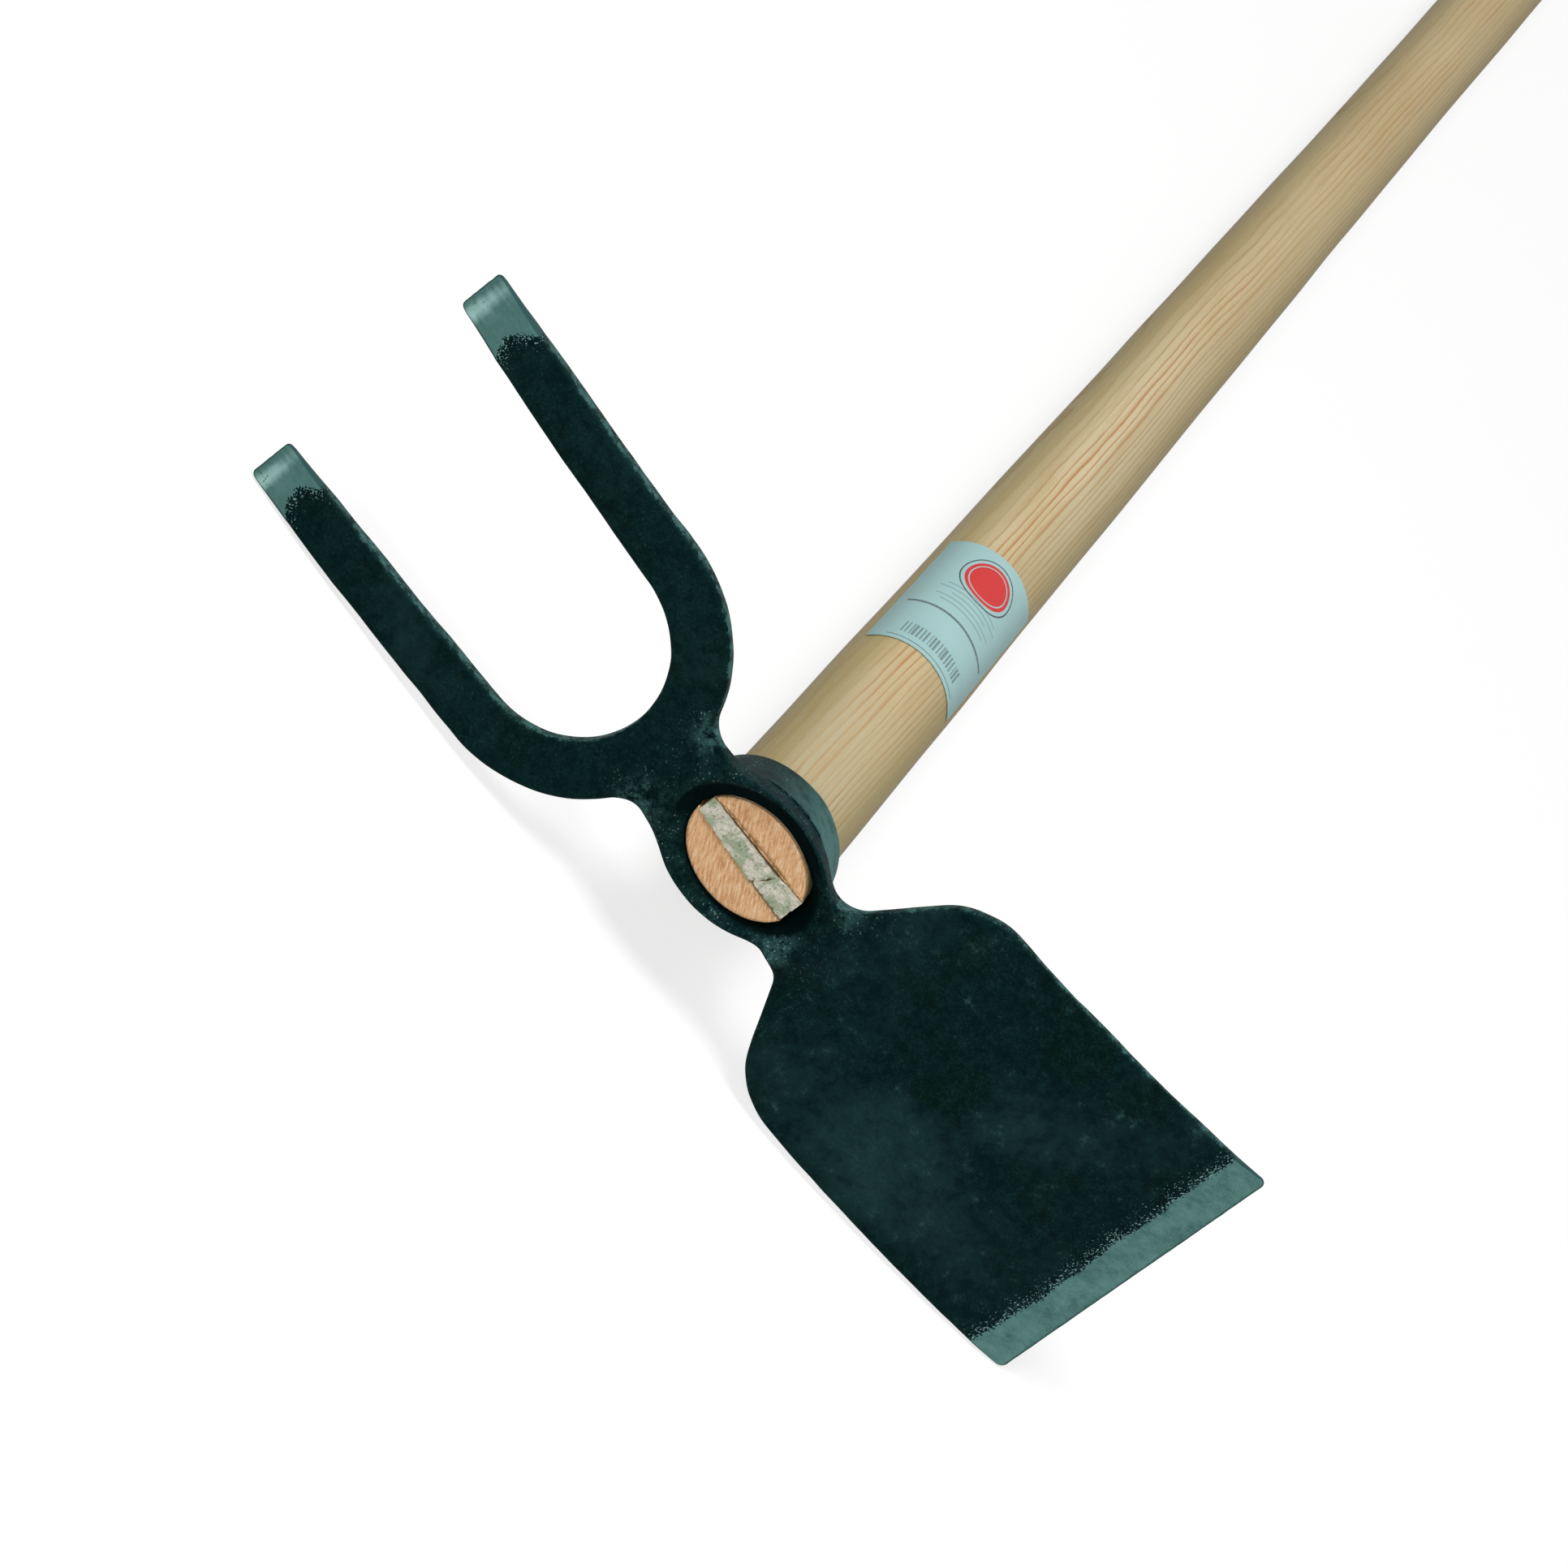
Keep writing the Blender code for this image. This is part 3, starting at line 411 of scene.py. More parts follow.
@dataclass(frozen=True)
class HeadWear:
    """Where the head is ground bare, rubbed, gritty, thinly painted and dented, and where shade and
    highlights are painted on it.

    Reaches of bare steel, of the bright tine band, of nicks and of worn tips count in millimetres
    from the cutting edge or a tine's end. A pair gives a strength with its width, or with what is
    lost of it.

    Attributes:
        upper_tine_bare: bare reach at even steps from the tine's lower to its upper side.
        strip_waves: height, length and phase of the waves of the blade's bare strip.
        strip_bow: its widening with the square of the distance from its middle.
        polish: strength of the bright band, rubbed steel and a painted highlight, at a
        tine's lower side, and its loss at the upper one.
        lip_wear: wear of the edge round the eye, of that of the plates.
        dish_shade_paling: share of the dish beyond which its painted shade pales, and by how much.
        dish_shade_bearing: direction in X and Z towards which the dish's painted shade grows.
        thin_places, gritty_places: X, Z, radius and strength of patches.
        dent_area: lowest and highest X and Z of the dents' middles.
        calm: how much of the skin's relief the grinding and the dish take away.
    """

    upper_tine_bare: tuple[float, ...] = (17.5, 14.6, 17.0, 21.5)
    lower_tine_bare: tuple[float, ...] = (17.5, 12.8, 11.6, 16.0)
    blade_bare: float = 11.3
    strip_waves: tuple[tuple[float, float, float], ...] = ((0.35, 0.0135, 0.6), (0.25, 0.0058, 2.0))
    strip_bow: float = 400.0
    polish_highlight_middle: float = 4.2
    polish_highlight_reach: float = 2.4
    polish: tuple[float, float] = (1.05, 0.62)
    edge_power: float = 0.5
    lip_wear: float = 0.60
    dish_wear: tuple[float, float] = (0.20, 0.16)
    rim_wear: tuple[float, float] = (0.8, 0.0007)
    collar_start: float = -0.12
    collar_run: float = 0.20
    dish_shade_rise: float = 0.35
    dish_shade_paling: tuple[float, float] = (0.75, 0.55)
    dish_shade_bearing: tuple[float, float] = (-0.50, 0.87)
    dish_shade_start: float = -0.004
    dish_shade_run: float = 0.016
    neck_grit: float = 0.50
    neck_grit_run: float = 0.022
    thin_places: tuple[Place, ...] = (
        (0.079, -0.028, 0.022, 0.95), (0.104, -0.030, 0.018, 0.55), (0.052, 0.000, 0.016, 0.40),
        (0.106, 0.012, 0.016, 0.45), (0.130, -0.020, 0.020, 0.35), (0.128, 0.030, 0.016, 0.40),
        (0.077, 0.0045, 0.010, -0.90), (0.089, 0.006, 0.008, -0.60), (0.062, 0.0185, 0.010, -0.50),
        (0.079, 0.040, 0.010, -0.60), (0.100, 0.043, 0.010, -0.60), (0.118, -0.002, 0.010, -0.50),
        (-0.062, 0.012, 0.012, 0.25))
    gritty_places: tuple[Place, ...] = (
        (-0.034, 0.0165, 0.0060, 1.0), (-0.032, -0.0140, 0.0070, 1.0),
        (0.0250, -0.0105, 0.0060, 0.5), (0.0290, 0.0150, 0.0050, 0.4))
    dent_seed: int = 41
    dent_count: int = 260
    dent_area: tuple[tuple[float, float], ...] = ((-0.165, -0.050), (0.150, 0.050))
    dent_radii: tuple[float, float] = (0.0035, 0.0085)
    dent_depths: tuple[float, float] = (0.00003, 0.00011)
    skin: tuple[Ripple, ...] = (Ripple(0.00011, 0.030, 7), Ripple(0.00004, 0.009, 8))
    calm: tuple[float, float] = (0.7, 0.6)
    nick: Ripple = Ripple(0.00003, 0.0030, 9)
    nick_reach: float = 2.0
    tip_loss: float = 0.00030
    tip_loss_reach: float = 3.2

    def dish_shade_share(self, hollow: Array) -> Array:
        """Painted shade over the share of the dish's depth: it thickens down the slope, then pales.
        """
        start, loss = self.dish_shade_paling
        pale = loss * smooth_step((hollow - start) / (1.0 - start))
        return smooth_step(hollow / self.dish_shade_rise) * (1.0 - pale)

    def dish_shade_bias(self, points: Array) -> Array:
        """Share of the dish's painted shade that a place gets, from 0 to 1 along its bearing."""
        along = self.dish_shade_bearing[1] * points[..., 2] + self.dish_shade_bearing[0] * points[..., 0]
        return smooth_step((along - self.dish_shade_start) / self.dish_shade_run)

    @staticmethod
    def patches(points: Array, places: tuple[Place, ...]) -> Array:
        """Sum of soft round patches, each strength * exp(-(d / r)^2) about its centre."""
        table = np.array(places)
        apart = ((points[..., None, ::2] - table[:, :2]) ** 2).sum(-1) / table[:, 2] ** 2
        return (np.exp(-apart) * table[:, 3]).sum(-1)

    def dents(self, points: Array) -> Array:
        """Sum of the shallow round dents, each -depth (1 - (d / r)^2)^2 within its radius r."""
        rng = np.random.default_rng(self.dent_seed)
        centres = rng.uniform(*self.dent_area, (self.dent_count, 2))
        radii = rng.uniform(*self.dent_radii, self.dent_count)
        depths = rng.uniform(*self.dent_depths, self.dent_count)
        apart = ((points[:, None, ::2] - centres) ** 2).sum(-1) / radii ** 2
        return -(np.clip(1.0 - apart, 0.0, 1.0) ** 2 * depths).sum(-1)

    def relief(self, points: Array, masks: Masks) -> Array:
        """Hammered skin: slow unevenness, dents, nicks along the edges and worn tine ends."""
        slow = self.skin[0].at(points) + self.skin[1].at(points)
        ground = smooth_step(masks[Mask.BARE])
        calm_ground, calm_dish = self.calm
        skin = (slow + self.dents(points)) * (1.0 - calm_ground * ground)
        skin = skin * (1.0 - calm_dish * masks[Mask.HOLLOW])
        near_edge = smooth_step(1.0 - masks[Mask.TIP] / self.nick_reach)
        worn = smooth_step(1.0 - masks[Mask.TIP] / self.tip_loss_reach) * (points[:, 0] < 0.0)
        return skin + self.nick.at(points) * near_edge - self.tip_loss * worn


@dataclass(frozen=True)
class HeadForging:
    """The forged head: dished eye with its collar, two necks, curved blade, two-tine fork.

    Sizes are those of the solid. A front and a rear surface share one outline, which is worked
    out for the upper half and mirrored.
    """

    wear: HeadWear = field(default_factory=HeadWear)
    handle: HandleForm = field(default_factory=HandleForm)
    # The oval eye, its dish, its hole and its collar.
    eye_centre: float = -0.0012
    face_half_x: float = 0.0283
    face_half_z: float = 0.0208
    collar_half_x: float = 0.0236
    collar_half_z: float = 0.0199
    collar_depth: float = 0.0220
    collar_taper: float = 0.0015
    rim_round: float = 0.0009
    dish_depth: float = 0.0036
    dish_width: float = 0.0058
    dish_inner: float = 0.0010
    lip_fade: float = 0.0090
    mouth_flare: float = 0.0054
    mouth_depth: float = 0.0070
    eye_clearance: float = 0.0003
    # The necks, the bends and the rounded edges.
    neck_thickness: float = 0.0046
    fillet_reach: float = 0.0125
    neck_blend: float = 0.0030
    neck_thin_start: float = 0.026
    neck_thin_run: float = 0.052
    bend_start: float = 0.024
    blade_bend_radius: float = 0.414
    fork_bend_radius: float = 1.050
    edge_round: float = 0.0011
    edge_round_share: float = 0.35
    lip_round: float = 0.0006
    rear_lip_share: float = 0.4
    rear_lip_least: float = 0.0001
    # The blade and its neck.
    blade_neck_half: float = 0.0136
    blade_neck_end: float = 0.0245
    blade_neck_fillet: float = 0.0095
    blade_slope_deg: float = 59.9
    blade_neck_corner: float = 0.02935
    blade_shoulder_half: float = 0.0479
    blade_shoulder_radius: float = 0.025
    blade_reach: float = 0.1604
    blade_edge_half: float = 0.0498
    blade_corner_radius: float = 0.0022
    blade_thickness: float = 0.0028
    blade_edge_thickness: float = 0.0009
    grind_width: float = 0.0125
    # The fork and its neck.
    fork_neck_half: float = 0.0156
    fork_neck_end: float = 0.0266
    fork_neck_fillet: float = 0.0100
    fork_outer_radius: float = 0.0463
    fork_inner_radius: float = 0.0292
    fork_centre: float = 0.0775
    fork_reach: float = 0.1672
    tine_outer_half: float = 0.0485
    tine_inner_half: float = 0.0333
    tine_corner_radius: float = 0.0016
    tine_thickness: float = 0.0046
    tine_tip_thickness: float = 0.0018
    tine_tip_run: float = 0.024
    # How the lines of points run over the surface, and how many there are.
    blade_easing: float = 1.35
    front_curve: float = 2.0
    rear_curve: float = 1.6
    blade_collar_deg: float = 35.0
    fork_collar_deg: float = 140.0
    neck_columns: int = 20
    side_columns: int = 56
    face_rows: int = 22
    collar_rows: int = 30
    fillet_rows: int = 14
    flank_rows: int = 10
    shoulder_rows: int = 24
    blade_rows: int = 44
    fork_bend_rows: int = 44
    fork_crotch_rows: int = 10
    tine_rows: int = 60
    grind_rows: int = 9
    corner_rows: int = 5
    mouth_rows: int = 9
    hole_rows: int = 8
    edge_rows: int = 5
    rim_rows: int = 4
    profile_samples: int = 160

    def hole_outline(self, y: float, angles: Array) -> Array:
        """Outline of the hole at depth y: it fits the wood, and its mouth flares to the blade."""
        half_x, half_z = self.handle.half_sizes(y)
        flare = self.mouth_flare * max(1.0 - y / self.mouth_depth, 0.0) ** 2
        x = (half_x + self.eye_clearance) * np.cos(angles)
        x += flare * np.maximum(np.cos(angles), 0.0) ** 2
        return np.stack([x, (half_z + self.eye_clearance) * np.sin(angles)], -1)

    def bend(self, x: Array) -> Array:
        """How far the plates have curved back at x: a flat arc on each side of the eye."""
        run = np.maximum(np.abs(x) - self.bend_start, 0.0)
        radius = np.where(x > 0, self.blade_bend_radius, self.fork_bend_radius)
        return run * run / (2.0 * radius)

    @staticmethod
    def oval_distance(x: Array, z: Array, centre: float, half_x: float, half_z: float) -> Array:
        """Distance outside an oval, measured along the ray from its centre."""
        scale = np.sqrt(((x - centre) / half_x) ** 2 + (z / half_z) ** 2)
        return np.hypot(x - centre, z) * (1.0 - 1.0 / np.maximum(scale, TINY))

    def mouth_distance(self, x: Array, z: Array) -> Array:
        """Distance outside the hole's front edge."""
        mouth = self.hole_outline(self.dish_inner, np.radians([0.0, 90.0, 180.0]))
        half_x = (mouth[0, 0] - mouth[2, 0]) / 2.0
        return self.oval_distance(x, z, mouth[0, 0] - half_x, half_x, mouth[1, 1])

    def collar_distance(self, x: Array, z: Array) -> Array:
        """Distance outside the collar's root."""
        return self.oval_distance(x, z, self.eye_centre, self.collar_half_x + self.collar_taper,
                                  self.collar_half_z + self.collar_taper)

    def tip_chisel(self, x: Array) -> Array:
        """How much each face of a tine draws in towards its chisel tip."""
        share = (-x - (self.fork_reach - self.tine_tip_run)) / self.tine_tip_run
        return 0.5 * (self.tine_thickness - self.tine_tip_thickness) * smooth_step(share)

    def front_height(self, x: Array, z: Array) -> Array:
        """Front surface: bend + dish from its lip down to the hole + ground bevel + tine tip."""
        away = self.mouth_distance(x, z)
        dish = self.dish_inner - self.dish_depth * np.clip(away / self.dish_width, 0.0, 1.0)
        fade = smooth_step((away - self.dish_width) / self.lip_fade)
        lip = (self.dish_depth - self.dish_inner) * fade
        grind = (x - (self.blade_reach - self.grind_width)) / self.grind_width
        bevel = (self.blade_thickness - self.blade_edge_thickness) * np.clip(grind, 0.0, 1.0)
        return self.bend(x) + dish + lip + bevel + self.tip_chisel(x)

    def plate_rear(self, x: Array) -> Array:
        """Rear of the plates: thick at the necks, thinner towards the blade and the tines."""
        plate = np.where(x > 0, self.blade_thickness, self.tine_thickness)
        thin = smooth_step((np.abs(x) - self.neck_thin_start) / self.neck_thin_run)
        thickness = self.neck_thickness + (plate - self.neck_thickness) * thin
        return self.bend(x) + thickness - self.tip_chisel(x)

    def rear_height(self, x: Array, z: Array, across: Array | float) -> Array:
        """Rear surface outside the collar, with the round blend up to it.

        Args:
            x: places along X.
            z: places along Z.
            across: 0 on the middle line of a neck, 1 at its edge, where the blend ends.

        Returns:
            plate_rear + r (1 - sqrt(1 - s^2)) (1 - across^2), with s falling from 1 at the
            collar's root to 0 at the blend's reach r.
        """
        left = 1.0 - np.clip(self.collar_distance(x, z) / self.fillet_reach, 0.0, 1.0)
        fillet = self.fillet_reach * (1.0 - np.sqrt(1.0 - left * left))
        return self.plate_rear(x) + fillet * (1.0 - across * across)

    def face_half_width(self, x: Array) -> Array:
        """Half width of the oval face and the two necks that leave it."""
        inside = np.clip(1.0 - ((x - self.eye_centre) / self.face_half_x) ** 2, 0.0, 1.0)
        neck = np.where(x > 0, self.blade_neck_half, self.fork_neck_half)
        return smooth_max(self.face_half_z * np.sqrt(inside), neck, self.neck_blend)

    def blade_outline(self) -> Array:
        """Neck fillet, sloping flank, round shoulder, straight side and corner of the blade."""
        slope = math.radians(self.blade_slope_deg)
        along = np.array([math.cos(slope), math.sin(slope)])
        rise = self.blade_edge_half - self.blade_shoulder_half
        run = self.blade_reach - self.blade_shoulder_radius - self.blade_neck_corner
        side_deg = math.degrees(math.atan2(rise, run))
        fillet_start = self.blade_neck_corner - self.blade_neck_fillet * math.tan(slope / 2.0)
        fillet = arc((fillet_start, self.blade_neck_half + self.blade_neck_fillet),
                     self.blade_neck_fillet, -90.0, self.blade_slope_deg - 90.0, self.fillet_rows)
        fillet[0] = (self.blade_neck_end, self.face_half_width(self.blade_neck_end))
        climb = self.blade_shoulder_half - self.blade_neck_half
        corner = np.array([self.blade_neck_corner + climb / math.tan(slope),
                           self.blade_shoulder_half])
        turn = slope - math.radians(side_deg)
        start = corner - along * self.blade_shoulder_radius * math.tan(turn / 2.0)
        middle = start + self.blade_shoulder_radius * np.array([along[1], -along[0]])
        shoulder = arc(middle, self.blade_shoulder_radius, self.blade_slope_deg + 90.0,
                       side_deg + 90.0, self.shoulder_rows)
        side_fall = self.grind_width * math.tan(math.radians(side_deg))
        side_end = (self.blade_reach - self.grind_width, self.blade_edge_half - side_fall)
        corner_start = (self.blade_reach - self.blade_corner_radius, self.blade_edge_half)
        corner_arc = arc((corner_start[0], self.blade_edge_half - self.blade_corner_radius),
                         self.blade_corner_radius, 90.0, 0.0, self.corner_rows)
        return join_paths(fillet, line(fillet[-1], start, self.flank_rows), shoulder,
                          line(shoulder[-1], side_end, self.blade_rows),
                          line(side_end, corner_start, self.grind_rows), corner_arc)

    def fork_outlines(self) -> tuple[Array, Array]:
        """Outer and inner edge of one arm of the fork, from the neck to the tip of the tine."""
        fillet_z = self.fork_neck_half + self.fork_neck_fillet
        reach = self.fork_outer_radius + self.fork_neck_fillet
        lean = math.degrees(math.asin(fillet_z / reach))
        fillet_x = -self.fork_centre + reach * math.cos(math.radians(lean))
        fillet = arc((fillet_x, fillet_z), self.fork_neck_fillet, -90.0, lean - 180.0,
                     self.fillet_rows)
        fillet[0] = (-self.fork_neck_end, self.face_half_width(-self.fork_neck_end))
        outer_bend = arc((-self.fork_centre, 0.0), self.fork_outer_radius, lean, 90.0,
                         self.fork_bend_rows)
        tip_x = -self.fork_reach + self.tine_corner_radius
        corner = arc((tip_x, self.tine_outer_half - self.tine_corner_radius),
                     self.tine_corner_radius, 90.0, 180.0, self.corner_rows)
        outer_side = line(outer_bend[-1], (tip_x, self.tine_outer_half), self.tine_rows)
        crotch = (-self.fork_centre + self.fork_inner_radius, 0.0)
        middle = line((-self.fork_neck_end, 0.0), crotch, self.rows_to_crotch)
        inner_bend = arc((-self.fork_centre, 0.0), self.fork_inner_radius, 0.0, 90.0,
                         self.fork_bend_rows - self.fork_crotch_rows)
        inner_side = line(inner_bend[-1], (tip_x, self.tine_inner_half), self.tine_rows)
        inner_corner = arc((tip_x, self.tine_inner_half + self.tine_corner_radius),
                           self.tine_corner_radius, -90.0, -180.0, self.corner_rows)
        return (join_paths(fillet, outer_bend, outer_side, corner),
                join_paths(middle, inner_bend, inner_side, inner_corner))

    @property
    def rows_to_crotch(self) -> int:
        """Rows between the eye and the crotch of the fork."""
        return self.fillet_rows + self.fork_crotch_rows

    def collar_angles(self) -> Array:
        """Directions of the columns round half of the eye, from the blade to the fork."""
        neck = np.linspace(0.0, self.blade_collar_deg, self.neck_columns + 1)
        free = np.linspace(self.blade_collar_deg, self.fork_collar_deg, self.side_columns + 1)
        fork = np.linspace(self.fork_collar_deg, 180.0, self.neck_columns + 1)
        return np.radians(join_paths(neck, free, fork))

    def face_outline(self) -> Array:
        """Where each column that is free of the necks ends on the outline of the face."""
        angles = self.collar_angles()[self.neck_columns:-self.neck_columns]
        blade, fork = math.radians(self.blade_collar_deg), math.radians(self.fork_collar_deg)
        quarter = math.pi / 2.0
        to_blade = np.clip((quarter - angles) / (quarter - blade), 0.0, 1.0) ** 2
        to_fork = np.clip((angles - quarter) / (fork - quarter), 0.0, 1.0) ** 2
        rim_x = self.eye_centre + self.collar_half_x * np.cos(angles)
        blade_shift = self.blade_neck_end - (self.eye_centre + self.collar_half_x * math.cos(blade))
        fork_shift = -self.fork_neck_end - (self.eye_centre + self.collar_half_x * math.cos(fork))
        x = rim_x + blade_shift * to_blade + fork_shift * to_fork
        return np.stack([x, self.face_half_width(x)], 1)

    def half_outline(self) -> tuple[Array, Array]:
        """The outline over its upper half, from the blade's edge to the fork's crotch.

        Returns:
            The path, and the places on it where the blade's edge, the blade, the eye's face,
            the arm's outer side and the tine's end are over.
        """
        blade = self.blade_outline()
        outer, inner = self.fork_outlines()
        face = self.face_outline()
        blade_edge = line((self.blade_reach, 0.0), blade[-1], self.neck_columns)
        tine_edge = line(outer[-1], inner[-1], self.neck_columns)
        inner_back = inner[self.rows_to_crotch:][::-1]
        path = join_paths(blade_edge, blade[::-1], face, outer, tine_edge, inner_back)
        counts = np.cumsum([self.neck_columns, len(blade) - 1, len(face) - 1, len(outer) - 1,
                            self.neck_columns])
        return path, counts

    @staticmethod
    def inset(path: Array, distances: Array) -> Array:
        """Draw the half outline in, square to its direction; its ends stay on the middle line."""
        longer = np.vstack([path[1] * (1, -1), path, path[-2] * (1, -1)])
        ahead = longer[2:] - longer[:-2]
        ahead /= np.linalg.norm(ahead, axis=1)[:, None]
        moved = path + np.stack([-ahead[:, 1], ahead[:, 0]], 1) * distances[:, None]
        moved[[0, -1], 1] = 0.0
        return moved

    def edge_rounding(self, x: Array) -> Array:
        """Rounding of a plate's edge, smaller where the plate is thin."""
        thickness = self.plate_rear(x) - self.front_height(x, np.full_like(x, self.blade_edge_half))
        return np.minimum(self.edge_round, self.edge_round_share * thickness)

    def lip_rounding(self, x: Array) -> Array:
        """Rounding along the eye's face: sharp at its middle, as the plates' at the necks."""
        run = np.where(x > 0, self.blade_neck_end, self.fork_neck_end)
        return self.lip_round + (self.edge_round - self.lip_round) * smooth_step(np.abs(x) / run)

    @staticmethod
    def spread(start: Array, finish: Array, columns: int, curve: float = 1.0) -> Array:
        """Rows of points between two paths; the X share follows a power of the column."""
        share = np.linspace(0.0, 1.0, columns + 1)
        step = finish[:, None, :] - start[:, None, :]
        x = start[:, None, 0] + step[..., 0] * share[None, :] ** curve
        z = start[:, None, 1] + step[..., 1] * share[None, :]
        return np.stack([x, z], 2)

    def blade_plan(self, edge: Array, counts: Array, side: Side) -> Array:
        """Plan of the blade between its middle line and its outline."""
        border = edge[counts[0]:counts[1] + 1][::-1]
        first_x = self.blade_neck_end + (self.dish_width if side is Side.FRONT else 0.0)
        settled = self.fillet_rows + self.flank_rows + self.shoulder_rows
        middle_x = border[:, 0].copy()
        easing = np.linspace(0.0, 1.0, settled + 1) ** self.blade_easing
        middle_x[:settled + 1] = first_x + (border[settled, 0] - first_x) * easing
        last = len(border) - self.corner_rows - 2
        middle_x[last:] = np.linspace(middle_x[last], border[-1, 0], self.corner_rows + 2)
        middle = np.stack([middle_x, np.zeros(len(border))], 1)
        curve = self.front_curve if side is Side.FRONT else self.rear_curve
        plan = self.spread(middle, border, self.neck_columns, curve)
        plan[-1] = edge[:counts[0] + 1]
        return plan

    def fork_plan(self, edge: Array, counts: Array, side: Side) -> Array:
        """Plan of one arm of the fork between its inner side and its outer side."""
        neck_start = -self.fork_neck_end - (self.dish_width if side is Side.FRONT else 0.0)
        middle = line((neck_start, 0.0), (edge[-1, 0], 0.0), self.rows_to_crotch)
        inner = np.vstack([middle[:-1], edge[counts[4]:][::-1]])
        plan = self.spread(inner, edge[counts[2]:counts[3] + 1], self.neck_columns)
        plan[-1] = edge[counts[3]:counts[4] + 1][::-1]
        return plan

    def collar_profile(self, rim: Array, base: Array, end: Array, across: float) -> Array:
        """Points down the collar wall and out over its blend, evenly spaced along their curve."""
        wall = np.linspace(rim, base, self.profile_samples)
        run = np.linspace(0.0, 1.0, self.profile_samples)[:, None] ** 2
        floor = base + (end - base) * run
        foot = self.rear_height(base[0], base[1], across)
        down = np.linspace(self.collar_depth - self.rim_round, foot, self.profile_samples)
        out = self.rear_height(floor[:, 0], floor[:, 1], across)
        curve = lift(np.vstack([wall, floor]), np.concatenate([down, out]))
        steps = np.linalg.norm(np.diff(curve, axis=0), axis=1)
        length = np.concatenate([[0.0], np.cumsum(steps)])
        wanted = np.linspace(0.0, length[-1], self.collar_rows + 1)
        return np.stack([np.interp(wanted, length, curve[:, axis]) for axis in range(3)], 1)

    def rim_profile(self, hole: Array, rim: Array) -> Array:
        """Rounded rear rim of the collar: a quarter circle on each side of a flat."""
        share = self.rim_round / np.linalg.norm(rim - hole)
        turn = np.linspace(0.0, math.pi / 2.0, self.rim_rows + 1)
        rise = self.collar_depth - self.rim_round * (1.0 - np.sin(turn))
        near = hole + (rim - hole) * (share * (1.0 - np.cos(turn)))[:, None]
        far = rim + (hole - rim) * (share * (1.0 - np.cos(turn[::-1])))[:, None]
        return np.vstack([lift(near, rise), lift(far, rise[::-1])[:-1]])

    def eye_rear(self, ends: Array) -> Array:
        """Rear of the eye: rounded rim, collar wall and blend, one column for each direction."""
        angles = self.collar_angles()
        holes = self.hole_outline(self.collar_depth, angles)
        columns = []
        for number, (angle, hole, end) in enumerate(zip(angles, holes, ends)):
            ray = np.array([math.cos(angle), math.sin(angle)])
            rim = ray * (self.collar_half_x, self.collar_half_z) + (self.eye_centre, 0.0)
            across = min(1.0, min(number, len(angles) - 1 - number) / self.neck_columns)
            profile = self.collar_profile(rim, rim + ray * self.collar_taper, end, across)
            columns.append(np.vstack([self.rim_profile(hole, rim), profile]))
        return np.array(columns)

    def hole_wall(self, mouth: Array, rim: Array) -> Array:
        """Wall of the hole from its flared mouth to the rear rim."""
        angles = self.collar_angles()
        depths = join_paths(np.linspace(self.dish_inner, self.mouth_depth, self.mouth_rows + 1),
                            np.linspace(self.mouth_depth, rim[0, 1], self.hole_rows + 1))[1:-1]
        rows = [lift(self.hole_outline(depth, angles), np.full_like(angles, depth))
                for depth in depths]
        return np.array([mouth, *rows, rim])

    def edge_strip(self, path: Array, front: Array, rear: Array, round_off: Array) -> Array:
        """Rounded side of the plates between the front's line and the rear's.

        Each end is a quarter turn t: plan = outline + (line - outline) (1 - sin t), height = line
        height + r (1 - cos t), with the flat side between the two turns.
        """
        turn = np.linspace(0.0, math.pi / 2.0, self.edge_rows + 1)[:, None, None]
        out = 1.0 - np.sin(turn)
        deep = (1.0 - np.cos(turn[..., 0])) * round_off
        rows_front = lift(path + (front[:, ::2] - path) * out, front[:, 1] + deep)
        rows_rear = lift(path + (rear[:, ::2] - path) * out, rear[:, 1] - deep)
        return np.concatenate([rows_front, rows_rear[::-1]])

    def from_tip(self, points: Array) -> Array:
        """Distance in millimetres from the blade's edge or from the ends of the tines."""
        x = points[..., 0]
        return np.where(x > 0, self.blade_reach - x, self.fork_reach + x) / MM

    def tine_share(self, z: Array) -> Array:
        """Place across a tine, 0 at its lower side and 1 at its upper side."""
        run = self.tine_outer_half - self.tine_inner_half
        outwards = (np.abs(z) - self.tine_inner_half) / run
        return np.where(z > 0, outwards, 1.0 - outwards)

    def bare(self, points: Array) -> Array:
        """Distance in millimetres inside the ground, bare zones; negative on the paint.

        The blade's strip follows its edge with slow waves. A tine is bare from its end to
        a reach that changes across it.
        """
        z = points[..., 2]
        strip = self.wear.blade_bare + sum(
            height * np.sin(z / length + phase) for height, length, phase in self.wear.strip_waves)
        strip = strip + self.wear.strip_bow * z ** 2
        share = self.tine_share(z)
        places = np.linspace(0.0, 1.0, len(self.wear.upper_tine_bare))
        upper = np.interp(share, places, self.wear.upper_tine_bare)
        lower = np.interp(share, places, self.wear.lower_tine_bare)
        reach = np.where(points[..., 0] > 0, strip, np.where(z > 0, upper, lower))
        return reach - self.from_tip(points)

    def polish(self, points: Array) -> Array:
        """Bright band across each tine near its end, rubbed steel and a painted highlight, weaker
        at the upper side.
        """
        strength, loss = self.wear.polish
        away = (self.from_tip(points) - self.wear.polish_highlight_middle) / self.wear.polish_highlight_reach
        band = np.exp(-away ** 2) * (strength - loss * self.tine_share(points[..., 2]))
        return np.where(points[..., 0] < 0, band, 0.0)

    def grit(self, points: Array) -> Array:
        """Sandy scale: even on the necks, fading out along the plates, and in patches."""
        run = (np.abs(points[..., 0]) - self.bend_start) / self.wear.neck_grit_run
        necks = self.wear.neck_grit * smooth_step(1.0 - run)
        return necks + self.wear.patches(points, self.wear.gritty_places)

